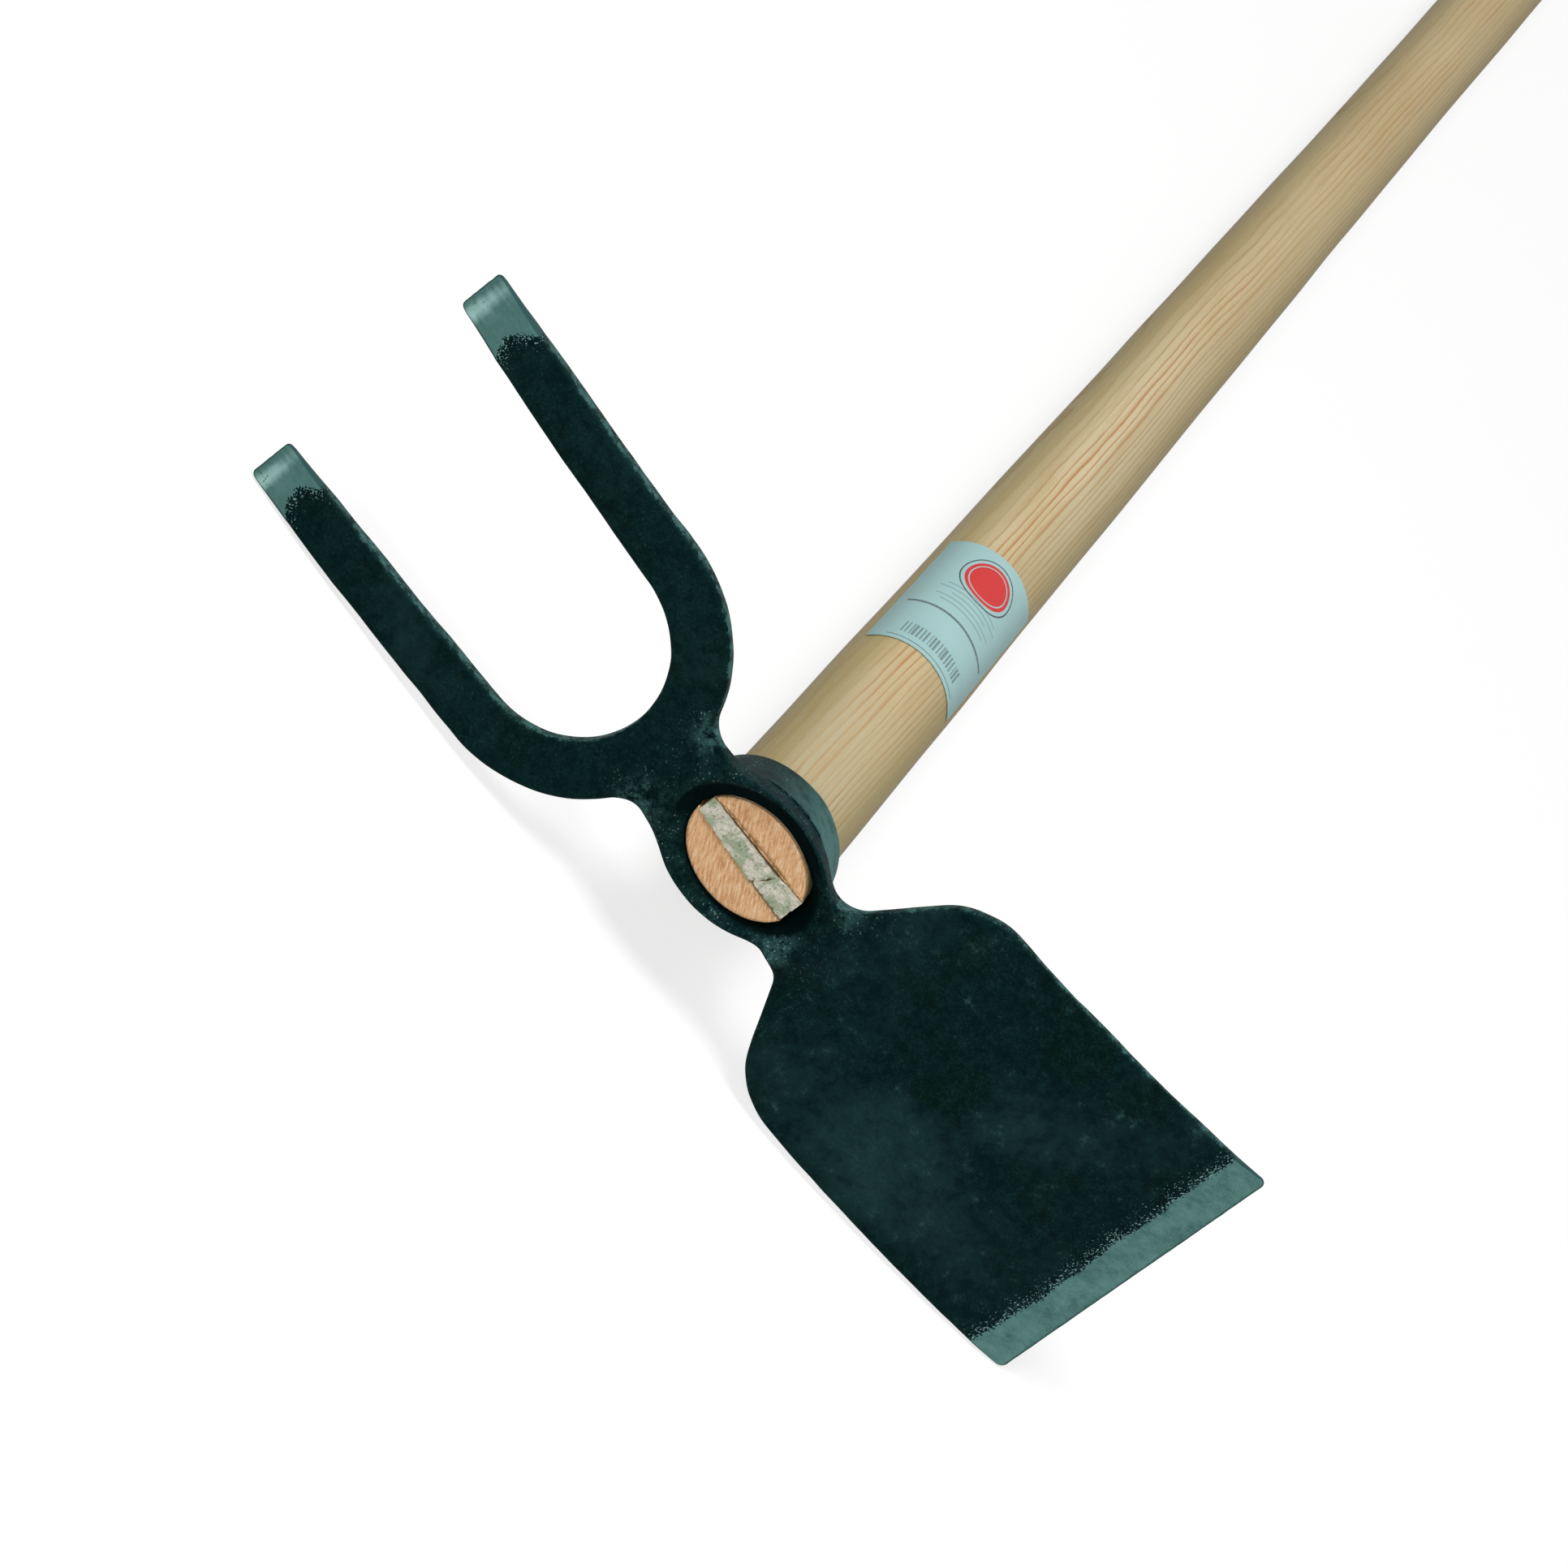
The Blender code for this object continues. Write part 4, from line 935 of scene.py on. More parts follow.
    def surface(self) -> Shell:
        """Gather every patch of the head's surface."""
        path, counts = self.half_outline()
        face = slice(counts[1], counts[2] + 1)
        front_round = self.edge_rounding(path[:, 0])
        front_round[face] = self.lip_rounding(path[face, 0])
        rear_round = front_round.copy()
        ledge = self.collar_distance(path[face, 0], path[face, 1])
        rear_round[face] = np.clip(self.rear_lip_share * ledge, self.rear_lip_least,
                                   front_round[face])
        shell = Shell(Mask.BARE, Mask.TIP, Mask.POLISH, Mask.WEAR, Mask.HOLLOW, Mask.COLLAR,
                      Mask.GRIT, Mask.THIN, Mask.SOOT)
        front_edge, mouth = self.add_side(shell, self.inset(path, front_round), counts, Side.FRONT)
        rear_edge, rim = self.add_side(shell, self.inset(path, rear_round), counts, Side.REAR)
        strip = self.edge_strip(path, front_edge, rear_edge, front_round)
        half_turn = np.linspace(0.0, math.pi, len(strip))[:, None]
        rubbed = np.ones(len(path))
        rubbed[face] = self.wear.lip_wear
        full = np.sin(half_turn) ** self.wear.edge_power
        self.add_mirrored(shell, strip, {Mask.WEAR: full * rubbed})
        wall = self.hole_wall(mouth, rim)
        self.add_mirrored(shell, wall, {Mask.HOLLOW: 1.0, Mask.COLLAR: 0.0})
        return shell

    def front_eye(self, ends: Array) -> tuple[Array, Masks]:
        """The dished face, from the hole to the given ends of its columns, with its masks."""
        plan = self.spread(self.hole_outline(self.dish_inner, self.collar_angles()), ends,
                           self.face_rows)
        x, z = plan[..., 0], plan[..., 1]
        depth = 1.0 - self.mouth_distance(x, z) / self.dish_width
        hollow = np.clip(depth, 0.0, 1.0)
        strength, width = self.wear.dish_wear
        return lift(plan, self.front_height(x, z)), {
            Mask.HOLLOW: hollow, Mask.WEAR: strength * np.exp(-(depth / width) ** 2),
            # painted shade, deepening down the dish
            Mask.SOOT: self.wear.dish_shade_share(hollow)}

    def rear_eye(self, ends: Array) -> tuple[Array, Masks]:
        """The collar with its rim and its blend out to the given ends, with its masks."""
        eye = self.eye_rear(ends)
        rise = (eye[..., 1] - self.plate_rear(eye[..., 0])) / self.collar_depth
        strength, width = self.wear.rim_wear
        from_rim = (eye[..., 1] - self.collar_depth) / width
        return eye, {
            # the collar's painted sheen covers its wall and the crease at its foot
            Mask.COLLAR: smooth_step((rise - self.wear.collar_start) / self.wear.collar_run),
            Mask.WEAR: strength * np.exp(-from_rim ** 2)}

    def add_side(self, shell: Shell, edge: Array, counts: Array,
                 side: Side) -> tuple[Array, Array]:
        """Add the front or the rear surface.

        Args:
            shell: the head's surface.
            edge: the outline drawn in by its rounding.
            counts: where the stretches of the outline end.
            side: which surface it is.

        Returns:
            The outline at the surface's height, and the surface's edge round the hole.
        """
        front = side is Side.FRONT
        blade = self.blade_plan(edge, counts, side)
        fork = self.fork_plan(edge, counts, side)
        ends = np.vstack([blade[0], edge[counts[1] + 1:counts[2]], fork[0][::-1]])
        eye, masks = self.front_eye(ends) if front else self.rear_eye(ends)
        self.add_mirrored(shell, eye, masks)
        across = np.linspace(0.0, 1.0, self.neck_columns + 1)[None, :]
        for plan in (blade, fork):
            x, z = plan[..., 0], plan[..., 1]
            heights = self.front_height(x, z) if front else self.rear_height(x, z, across)
            self.add_mirrored(shell, lift(plan, heights), {})
        x, z = edge[:, 0], edge[:, 1]
        return lift(edge, self.front_height(x, z) if front else self.plate_rear(x)), eye[:, 0]

    def add_mirrored(self, shell: Shell, grid: Array, values: dict[Mask, Array | float]) -> None:
        """Add a grid and its mirror image in the middle plane, with the masks of their places."""
        for half in (grid, grid * (1.0, 1.0, -1.0)):
            own = {Mask.BARE: self.bare(half), Mask.TIP: self.from_tip(half),
                   Mask.POLISH: self.polish(half), Mask.GRIT: self.grit(half),
                   Mask.THIN: self.wear.patches(half, self.wear.thin_places)}
            own |= values
            # painted shade: the dish is darkened more towards one side of the eye
            own[Mask.SOOT] = own.get(Mask.SOOT, 0.0) * self.wear.dish_shade_bias(half)
            shell.add(half, values=own)

    def contacts(self) -> Array:
        """The three places the tool lies on: blade corner, tine tip and the grip's end."""
        blade_x = self.blade_reach - self.blade_corner_radius
        fork_x = -self.fork_reach + self.tine_corner_radius
        grip_y = self.handle.length - self.handle.end_round
        return np.array([
            (blade_x, float(self.plate_rear(np.array(blade_x))), -self.blade_edge_half),
            (fork_x, float(self.plate_rear(np.array(fork_x))), -self.tine_outer_half),
            (0.0, grip_y, -self.handle.grip_radius)])


@dataclass(frozen=True)
class AshHandle:
    """The handle's surface: two cheeks beside the saw cut, the long taper and the round end.

    Attributes:
        station: distance between two rings of the shaft.
        soil_beside: dirt on the wood's end beside the saw cut, on each cheek.
        soil_powers: how fast it fades away from the saw cut and from the rim.
        sawn_depth: how far the look of sawn wood reaches down the sides, in chamfers.
        shaft_start: where the shaft's slow relief starts, and the run over which it grows full.
        crumble: chooses the places that have crumbled away beside the saw cut.
    """

    form: HandleForm = field(default_factory=HandleForm)
    wedge: WedgeLines = field(default_factory=WedgeLines)
    chamfer: float = 0.0007
    columns: int = 44
    gap_columns: int = 10
    face_rows: int = 16
    chamfer_rows: int = 3
    cheek_rows: int = 8
    station: float = 0.0065
    end_rows: int = 12
    cap_rows: int = 6
    wall_rounds: int = 12
    soil_beside: tuple[tuple[Cheek, float], ...] = ((Cheek.UPPER, 1.0), (Cheek.LOWER, 0.55))
    soil_rim: float = 0.35
    soil_powers: tuple[int, int] = (5, 24)
    kerf_shade_depth: float = 0.003
    sawn_depth: float = 3.0
    far_grain: float = 0.8
    slow: Ripple = Ripple(0.00010, 0.030, 21)
    grain_stretch: float = 0.25
    shaft_start: tuple[float, float] = (0.026, 0.05)
    face_depth: float = 0.0004
    sawn: Ripple = Ripple(0.00004, 0.0016, 22)
    crumble: Ripple = Ripple(1.0, 0.0024, 23)
    crumble_depth: float = 0.00030
    crumble_from: float = 0.35

    def wall_end(self, y: float, drawn_in: float, cheek: Cheek, blade_end: bool) -> float:
        """Angle at which a wall of the saw cut meets the oval at depth y.

        The angle solves half_z sin t = wall height at half_x cos t, by repeated substitution.
        """
        half_x, half_z = self.form.half_sizes(y)
        half_x, half_z = half_x - drawn_in, half_z - drawn_in
        angle = 0.0 if blade_end else math.pi
        for _ in range(self.wall_rounds):
            height = float(self.wedge.kerf(np.array(half_x * math.cos(angle)), y, cheek))
            lean = math.asin(height / half_z)
            angle = lean if blade_end else math.pi - lean
        return angle

    def cheek_angles(self, y: float, drawn_in: float, cheek: Cheek) -> Array:
        """Angles round one cheek: from the blade end to the fork end, or back for the lower."""
        near_blade = self.wall_end(y, drawn_in, cheek, True)
        near_fork = self.wall_end(y, drawn_in, cheek, False)
        if cheek is Cheek.UPPER:
            return np.linspace(near_blade, near_fork, self.columns + 1)
        return np.linspace(near_fork, near_blade + 2.0 * math.pi, self.columns + 1)

    def oval(self, y: float, drawn_in: float, angles: Array) -> Array:
        """Points of the oval section at depth y."""
        half_x, half_z = self.form.half_sizes(y)
        return np.stack([(half_x - drawn_in) * np.cos(angles), np.full_like(angles, y),
                         (half_z - drawn_in) * np.sin(angles)], -1)

    def cheek_row(self, y: float, drawn_in: float, cheek: Cheek) -> tuple[Array, Array]:
        """The cheek's outer arc and the foot of each of its points on the wall of the cut."""
        outer = self.oval(y, drawn_in, self.cheek_angles(y, drawn_in, cheek))
        foot = outer.copy()
        foot[:, 2] = self.wedge.kerf(outer[:, 0], y, cheek)
        foot[[0, -1]] = outer[[0, -1]]
        return outer, foot

    def surface(self) -> Shell:
        """Gather the handle's surface, with the wood's end, the saw cut and the far end."""
        shell = Shell(Mask.END, Mask.SOIL)
        turns = np.linspace(0.0, math.pi / 2.0, self.chamfer_rows + 1)
        rows = [(self.chamfer * (1.0 - math.cos(t)), self.chamfer * (1.0 - math.sin(t)))
                for t in turns]
        depths = np.linspace(self.chamfer, self.wedge.kerf_depth, self.cheek_rows + 1)[1:]
        rows += [(float(depth), 0.0) for depth in depths]
        for cheek in Cheek:
            self.add_cheek(shell, rows, cheek)
        self.add_shaft(shell)
        return shell

    def add_cheek(self, shell: Shell, rows: list[tuple[float, float]], cheek: Cheek) -> None:
        """Add a cheek's face, its outer side and its wall of the saw cut.

        Args:
            shell: the handle's surface.
            rows: depth and drawing-in of each row, from the face down to the cut's bottom.
            cheek: which half it is.
        """
        pairs = [self.cheek_row(y, drawn_in, cheek) for y, drawn_in in rows]
        outer, foot = np.array([pair[0] for pair in pairs]), np.array([pair[1] for pair in pairs])
        share = np.linspace(0.0, 1.0, self.face_rows + 1)[:, None, None]
        face = foot[0] + (outer[0] - foot[0]) * share
        inner_power, rim_power = self.soil_powers
        soil = dict(self.soil_beside)[cheek] * (1.0 - share[..., 0]) ** inner_power
        soil = soil + self.soil_rim * share[..., 0] ** rim_power
        shell.add(face, values={Mask.END: 1.0, Mask.SOIL: soil})
        down = np.array([y for y, _ in rows])[:, None]
        sawn = smooth_step(1.0 - down / (self.sawn_depth * self.chamfer))
        shell.add(outer, values={Mask.END: sawn, Mask.SOIL: self.soil_rim})
        # painted shade: the brown darkens down the walls of the saw cut
        shell.add(foot, values={Mask.END: 1.0, Mask.SOIL: smooth_step(down / self.kerf_shade_depth)})

    def add_shaft(self, shell: Shell) -> None:
        """Add the floor of the saw cut and the shaft from there to the far end."""
        depth = self.wedge.kerf_depth
        upper = self.cheek_angles(depth, 0.0, Cheek.UPPER)
        lower = self.cheek_angles(depth, 0.0, Cheek.LOWER)
        fork_gap = np.linspace(upper[-1], lower[0], self.gap_columns + 1)
        blade_gap = np.linspace(lower[-1], upper[0] + 2.0 * math.pi, self.gap_columns + 1)
        foot_upper = self.cheek_row(depth, 0.0, Cheek.UPPER)[1]
        foot_lower = self.cheek_row(depth, 0.0, Cheek.LOWER)[1][::-1]
        share = np.linspace(0.0, 1.0, self.gap_columns + 1)[None, :, None]
        floor = foot_upper[:, None] + (foot_lower - foot_upper)[:, None] * share
        floor[0] = self.oval(depth, 0.0, blade_gap[::-1])
        floor[-1] = self.oval(depth, 0.0, fork_gap)
        # painted shade: the floor of the saw cut gets the full brown
        shell.add(floor, values={Mask.END: 1.0, Mask.SOIL: 1.0})
        angles = join_paths(upper, fork_gap, lower, blade_gap)[:-1]
        last = self.form.length - self.form.end_round
        count = int(round((last - depth) / self.station))
        rings = [self.oval(float(y), 0.0, angles) for y in np.linspace(depth, last, count + 1)]
        shell.add(np.array(rings), wrap=True)
        self.add_far_end(shell, angles, last)

    def add_far_end(self, shell: Shell, angles: Array, start: float) -> None:
        """Add the rounded end: a quarter turn t from the grip's radius to a flat disc.

        radius = flat + (grip - flat) cos t and y = start + round sin t, then rings to the middle.
        """
        turn = np.linspace(0.0, math.pi / 2.0, self.end_rows + 1)
        flat, grip = self.form.end_flat, self.form.grip_radius
        radii = np.concatenate([flat + (grip - flat) * np.cos(turn),
                                np.linspace(flat, 0.0, self.cap_rows + 1)[1:]])
        y = np.concatenate([start + self.form.end_round * np.sin(turn),
                            np.full(self.cap_rows, self.form.length)])
        grain = np.concatenate([smooth_step(turn / turn[-1]), np.ones(self.cap_rows)])
        plan = radii[:, None, None] * np.stack([np.cos(angles), np.sin(angles)], -1)
        rings = lift(plan, np.broadcast_to(y[:, None], plan.shape[:2]))
        shell.add(rings, wrap=True, values={Mask.END: self.far_grain * grain[:, None]})

    def relief(self, points: Array, masks: Masks) -> Array:
        """Turned wood: hardly uneven along the shaft, a little rough on the sawn end."""
        depth = points[:, 1]
        start, run = self.shaft_start
        slow = self.slow.at(points * (1.0, self.grain_stretch, 1.0))
        loose = smooth_step(masks[Mask.SOIL] - self.crumble_from)
        crumbled = self.crumble_depth * loose * smooth_step(0.5 + self.crumble.at(points))
        rough = (self.sawn.at(points) - crumbled) * (depth < self.face_depth)
        return slow * smooth_step((depth - start) / run) + rough


@dataclass(frozen=True)
class WedgePiece:
    """One piece of the cracked wooden wedge: a rough block between the two edge lines.

    Attributes:
        broken_end: True for the short piece beyond the crack.
        fray: chooses where the edges are frayed, over a face of fray_size.
        border_powers: how narrow the brown border is at the ends and at the edges.
        chip: chooses where the borders of the struck face are broken down.
    """

    broken_end: bool
    lines: WedgeLines = field(default_factory=WedgeLines)
    long_cells: int = 64
    cross_cells: int = 22
    deep_cells: int = 26
    fray: Ripple = Ripple(1.0, 0.0026, 35)
    fray_size: tuple[float, float] = (0.024, 0.009)
    fray_depth: float = 0.00022
    jag: Ripple = Ripple(0.00022, 0.0021, 31)
    border_powers: tuple[int, int] = (24, 8)
    rough: tuple[Ripple, ...] = (Ripple(0.00004, 0.0012, 32), Ripple(0.000048, 0.0035, 33))
    chip: Ripple = Ripple(1.0, 0.0030, 34)
    chip_depth: float = 0.00028
    chip_reach: float = 0.0012

    def place(self, u: Array, v: Array, w: Array) -> Array:
        """Point of the block at its three shares.

        Args:
            u: share along the face, 0 at the fork's side.
            v: share across, 0 at the lower edge.
            w: share of the depth, 0 at the face.

        Returns:
            z runs between the edge lines and draws in with depth, x between the end and the
            slanting crack, y from the face to the hidden end; the crack's face is jagged.
        """
        lines = self.lines
        first, last = (1, 2) if self.broken_end else (0, 1)
        low = lines.low_z[first] + (lines.low_z[last] - lines.low_z[first]) * u
        high = lines.high_z[first] + (lines.high_z[last] - lines.high_z[first]) * u
        middle = (low + high) / 2.0
        long, wide = self.fray_size
        frayed = np.clip(self.fray.at(np.stack([long * u, low, wide * v], -1)), 0.0, 1.0)
        low = low + self.fray_depth * frayed * (1.0 - v)
        high = high - self.fray_depth * frayed * v
        z = middle + (low + (high - low) * v - middle) * (1.0 - (1.0 - lines.end_scale) * w)
        y = -lines.proud + (lines.depth + lines.proud) * w
        crack = lines.crack_x(z) + self.jag.at(np.stack([np.zeros_like(z), y, z], -1))
        if self.broken_end:
            crack = crack + lines.crack_gap
            x = crack + (lines.high_x - crack) * u
            z = z + lines.crack_step
        else:
            x = lines.low_x + (crack - lines.low_x) * u
        return np.stack([x, y, z], -1)

    def surface(self) -> Shell:
        """Gather the six faces of the block, each the map of one face of the unit cube."""
        shell = Shell(Mask.END, Mask.SOIL)
        steps = [np.linspace(0.0, 1.0, count + 1)
                 for count in (self.long_cells, self.cross_cells, self.deep_cells)]
        for axis in range(3):
            others = [steps[i] for i in range(3) if i != axis]
            first, second = np.meshgrid(*others, indexing="ij")
            for end in (0.0, 1.0):
                shares = [first, second]
                shares.insert(axis, np.full_like(first, end))
                is_face = axis == 2 and end == 0.0
                border = np.maximum(*(np.abs(2.0 * share - 1.0) ** power
                                      for share, power in zip(shares, self.border_powers)))
                shell.add(self.place(*shares), values={Mask.END: float(is_face),
                                                       Mask.SOIL: border})
        return shell

    def relief(self, points: Array, masks: Masks) -> Array:
        """Crushed fibres: rough all over, with the borders of the struck face broken down."""
        rough = self.rough[0].at(points) + self.rough[1].at(points)
        chipped = masks[Mask.SOIL] * smooth_step(self.chip.at(points))
        shallow = smooth_step(1.0 - (points[:, 1] + self.lines.proud) / self.chip_reach)
        return rough - self.chip_depth * chipped * shallow


@dataclass(frozen=True)
class PaperLabel:
    """The label: thin paper wrapped part of the way round the handle.

    Attributes:
        middle_deg: direction of its middle, round the handle from the blade's side.
        seat: height of its inner face over the wood.
        curl: how far its long borders lift; curl_power makes the lifted borders narrow.
    """

    form: HandleForm = field(default_factory=HandleForm)
    start: float = 0.143
    length: float = 0.091
    middle_deg: float = 95.5
    wrap_deg: float = 124.0
    seat: float = 0.00022
    thickness: float = 0.00022
    around: int = 72
    along: int = 96
    curl: float = 0.00016
    curl_power: int = 24
    cockle: Ripple = Ripple(0.00003, 0.014, 51)

    def sheet(self, raised: float) -> Array:
        """Points of the paper at one height over the wood: oval section plus that height."""
        turn = math.radians(self.middle_deg)
        half = math.radians(self.wrap_deg) / 2.0
        angles = np.linspace(turn - half, turn + half, self.around + 1)[None, :]
        y = np.linspace(self.start, self.start + self.length, self.along + 1)[:, None]
        half_x, half_z = self.form.half_sizes(y)
        lifted = raised + self.curl * ((angles - turn) / half) ** self.curl_power
        x = (half_x + lifted) * np.cos(angles)
        z = (half_z + lifted) * np.sin(angles)
        return np.stack([x, np.broadcast_to(y, x.shape), z], -1)

    @property
    def flat_size(self) -> tuple[float, float]:
        """Width round the handle and length along it, of the paper laid flat."""
        half_x, half_z = self.form.half_sizes(self.start + self.length / 2.0)
        return math.radians(self.wrap_deg) * float(half_x + half_z) / 2.0, self.length

    def surface(self) -> Shell:
        """Gather both faces of the paper and its four edges."""
        shell = Shell(Mask.SOIL)
        width, length = self.flat_size
        across, along = np.meshgrid(np.linspace(0.0, width, self.around + 1),
                                    np.linspace(0.0, length, self.along + 1))
        flat = np.stack([across, along], -1)
        near, far = self.sheet(self.seat), self.sheet(self.seat + self.thickness)
        shell.add(near, layout=flat, values={Mask.SOIL: 1.0})
        shell.add(far, layout=flat)
        for cut in (np.s_[0], np.s_[-1], np.s_[:, 0], np.s_[:, -1]):
            shell.add(np.stack([near[cut], far[cut]]), layout=np.stack([flat[cut], flat[cut]]))
        return shell

    def relief(self, points: Array, masks: Masks) -> Array:
        """Paper that has followed the wood, with faint cockles."""
        return (1.0 - 2.0 * masks[Mask.SOIL]) * self.cockle.at(points)


class Signal:
    """A socket that varies over a surface; Python arithmetic on it adds Math nodes."""

    def __init__(self, tree: "ShaderTree", socket: bpy.types.NodeSocket) -> None:
        """Wrap a socket of a tree."""
        self.tree = tree
        self.socket = socket

    def combine(self, operation: str, first: "Signal | float",
                second: "Signal | float") -> "Signal":
        """Add a Math node of the given operation."""
        return self.tree.node("ShaderNodeMath", {"operation": operation}, {0: first, 1: second})

    def __add__(self, other: "Signal | float") -> "Signal":
        """Return self + other."""
        return self.combine("ADD", self, other)

    __radd__ = __add__

    def __sub__(self, other: "Signal | float") -> "Signal":
        """Return self - other."""
        return self.combine("SUBTRACT", self, other)

    def __rsub__(self, other: "Signal | float") -> "Signal":
        """Return other - self."""
        return self.combine("SUBTRACT", other, self)

    def __mul__(self, other: "Signal | float") -> "Signal":
        """Return self * other."""
        return self.combine("MULTIPLY", self, other)

    def __truediv__(self, other: "Signal | float") -> "Signal":
        """Return self / other."""
        return self.combine("DIVIDE", self, other)

    def __pow__(self, other: float) -> "Signal":
        """Return self to a power."""
        return self.combine("POWER", self, other)

    def swing(self, reach: float) -> "Signal":
        """Return the deviation from 0.5, a noise's middle, times reach."""
        return (self - 0.5) * reach

    def fraction(self) -> "Signal":
        """Return the part after the point."""
        return self.combine("FRACT", self, 0.0)

    def sine(self) -> "Signal":
        """Return the sine of an angle in radians."""
        return self.combine("SINE", self, 0.0)

    def between(self, low: float, high: float) -> "Signal":
        """Return a smooth rise from 0 at low to 1 at high; low may be the larger."""
        return self.tree.node("ShaderNodeMapRange", {"interpolation_type": "SMOOTHSTEP"},
                              {"Value": self, "From Min": low, "From Max": high})

    def most(self, other: "Signal | float") -> "Signal":
        """Return the larger of the two."""
        return self.combine("MAXIMUM", self, other)

    def least(self, other: "Signal | float") -> "Signal":
        """Return the smaller of the two."""
        return self.combine("MINIMUM", self, other)


class ShaderTree:
    """The nodes of a material or a world, with the few patterns that the finishes use."""

    def __init__(self, owner: bpy.types.Material | bpy.types.World, shader: str) -> None:
        """Turn on the owner's nodes and pick the shader that dress() feeds."""
        self.owner = owner
        self.owner.use_nodes = True
        self.tree = owner.node_tree
        self.shader = self.tree.nodes[shader]

    @staticmethod
    def material(name: str) -> "ShaderTree":
        """Make a material with a Principled shader."""
        return ShaderTree(bpy.data.materials.new(name), "Principled BSDF")

    def node(self, kind: str, settings: dict | None = None, inputs: dict | None = None,
             output: int | str = 0) -> Signal:
        """Add a node.

        Args:
            kind: the node's type.
            settings: its own properties, set first.
            inputs: values or signals for its sockets, by name or number.
            output: which of its outputs is wanted.

        Returns:
            That output.
        """
        node = self.tree.nodes.new(kind)
        for key, value in (settings or {}).items():
            setattr(node, key, value)
        for key, value in (inputs or {}).items():
            if isinstance(value, Signal):
                self.tree.links.new(value.socket, node.inputs[key])
            else:
                node.inputs[key].default_value = value
        return Signal(self, node.outputs[output])

    def object_place(self, turn: Euler | None = None, shift: Vector | None = None) -> Signal:
        """Object coordinates, turned and shifted into the tool's own axes where asked."""
        place = self.node("ShaderNodeTexCoord", output="Object")
        if turn is None:
            return place
        return self.node("ShaderNodeMapping", {"vector_type": "POINT"},
                         {"Vector": place, "Location": shift, "Rotation": turn})

    def stretched(self, place: Signal, scale: tuple[float, float, float]) -> Signal:
        """Scale coordinates along each axis."""
        return self.node("ShaderNodeMapping", {"vector_type": "POINT"},
                         {"Vector": place, "Scale": scale})

    def split(self, place: Signal) -> tuple[Signal, Signal, Signal]:
        """X, Y and Z of coordinates."""
        parts = self.node("ShaderNodeSeparateXYZ", inputs={"Vector": place})
        outputs = parts.socket.node.outputs
        return tuple(Signal(self, outputs[axis]) for axis in "XYZ")

    def vector(self, x: "Signal | float", y: "Signal | float", z: "Signal | float") -> Signal:
        """Coordinates from three numbers."""
        return self.node("ShaderNodeCombineXYZ", inputs={0: x, 1: y, 2: z})

    def attribute(self, mask: Mask) -> Signal:
        """A mask that the surface carries."""
        return self.node("ShaderNodeAttribute", {"attribute_name": mask.value}, output="Fac")

    def noise(self, place: Signal, scale: float, detail: float = 2.0, rough: float = 0.5,
              twist: float = 0.0) -> Signal:
        """Soft noise, about 0 to 1, with a given number of blotches in a metre."""
        return self.node("ShaderNodeTexNoise", inputs={
            "Vector": place, "Scale": scale, "Detail": detail, "Roughness": rough,
            "Distortion": twist})

    def drawn(self, place: Signal, along: float, scale: float, **settings: float) -> Signal:
        """Noise drawn out along Y, where lengths count by the share given as along."""
        return self.noise(self.stretched(place, (1.0, along, 1.0)), scale, **settings)

    def cells(self, place: Signal, scale: float) -> Signal:
        """Distance to the nearest of many scattered points, in cell widths."""
        return self.node("ShaderNodeTexVoronoi", {"feature": "F1"},
                         {"Vector": place, "Scale": scale, "Randomness": 1.0}, "Distance")

    def mix(self, first: "Signal | Colour", second: "Signal | Colour", share: Signal) -> Signal:
        """Blend two colours."""
        ends = [(*end, 1.0) if isinstance(end, tuple) else end for end in (first, second)]
        return self.node("ShaderNodeMix", {"data_type": "RGBA"},
                         {0: share, 6: ends[0], 7: ends[1]}, 2)

    def coats(self, ground: "Signal | Colour",
              *coats: tuple["Signal | Colour", Signal]) -> "Signal | Colour":
        """Lay coats of colour over a ground in their order, each by its own share."""
        for colour, share in coats:
            ground = self.mix(ground, colour, share)
        return ground

    def seen(self) -> Signal:
        """Return 1 for what is seen, directly or in a gloss, and 0 for what only lights."""
        seen = self.node("ShaderNodeLightPath", output="Is Camera Ray")
        outputs = seen.socket.node.outputs
        for kind in ("Is Glossy Ray", "Is Transmission Ray"):
            seen = seen.most(Signal(self, outputs[kind]))
        return seen

    def bump(self, height: Signal, distance: float, strength: float) -> Signal:
        """Normals of a surface raised by height times distance."""
        return self.node("ShaderNodeBump", inputs={
            "Height": height, "Distance": distance, "Strength": strength})

    def dress(self, **sockets: "Signal | float | tuple") -> bpy.types.Material | bpy.types.World:
        """Feed the shader and return its owner; underscores stand for spaces in socket names."""
        for key, value in sockets.items():
            socket = self.shader.inputs[key.replace("_", " ")]
            if isinstance(value, Signal):
                self.tree.links.new(value.socket, socket)
            else:
                socket.default_value = value
        return self.owner


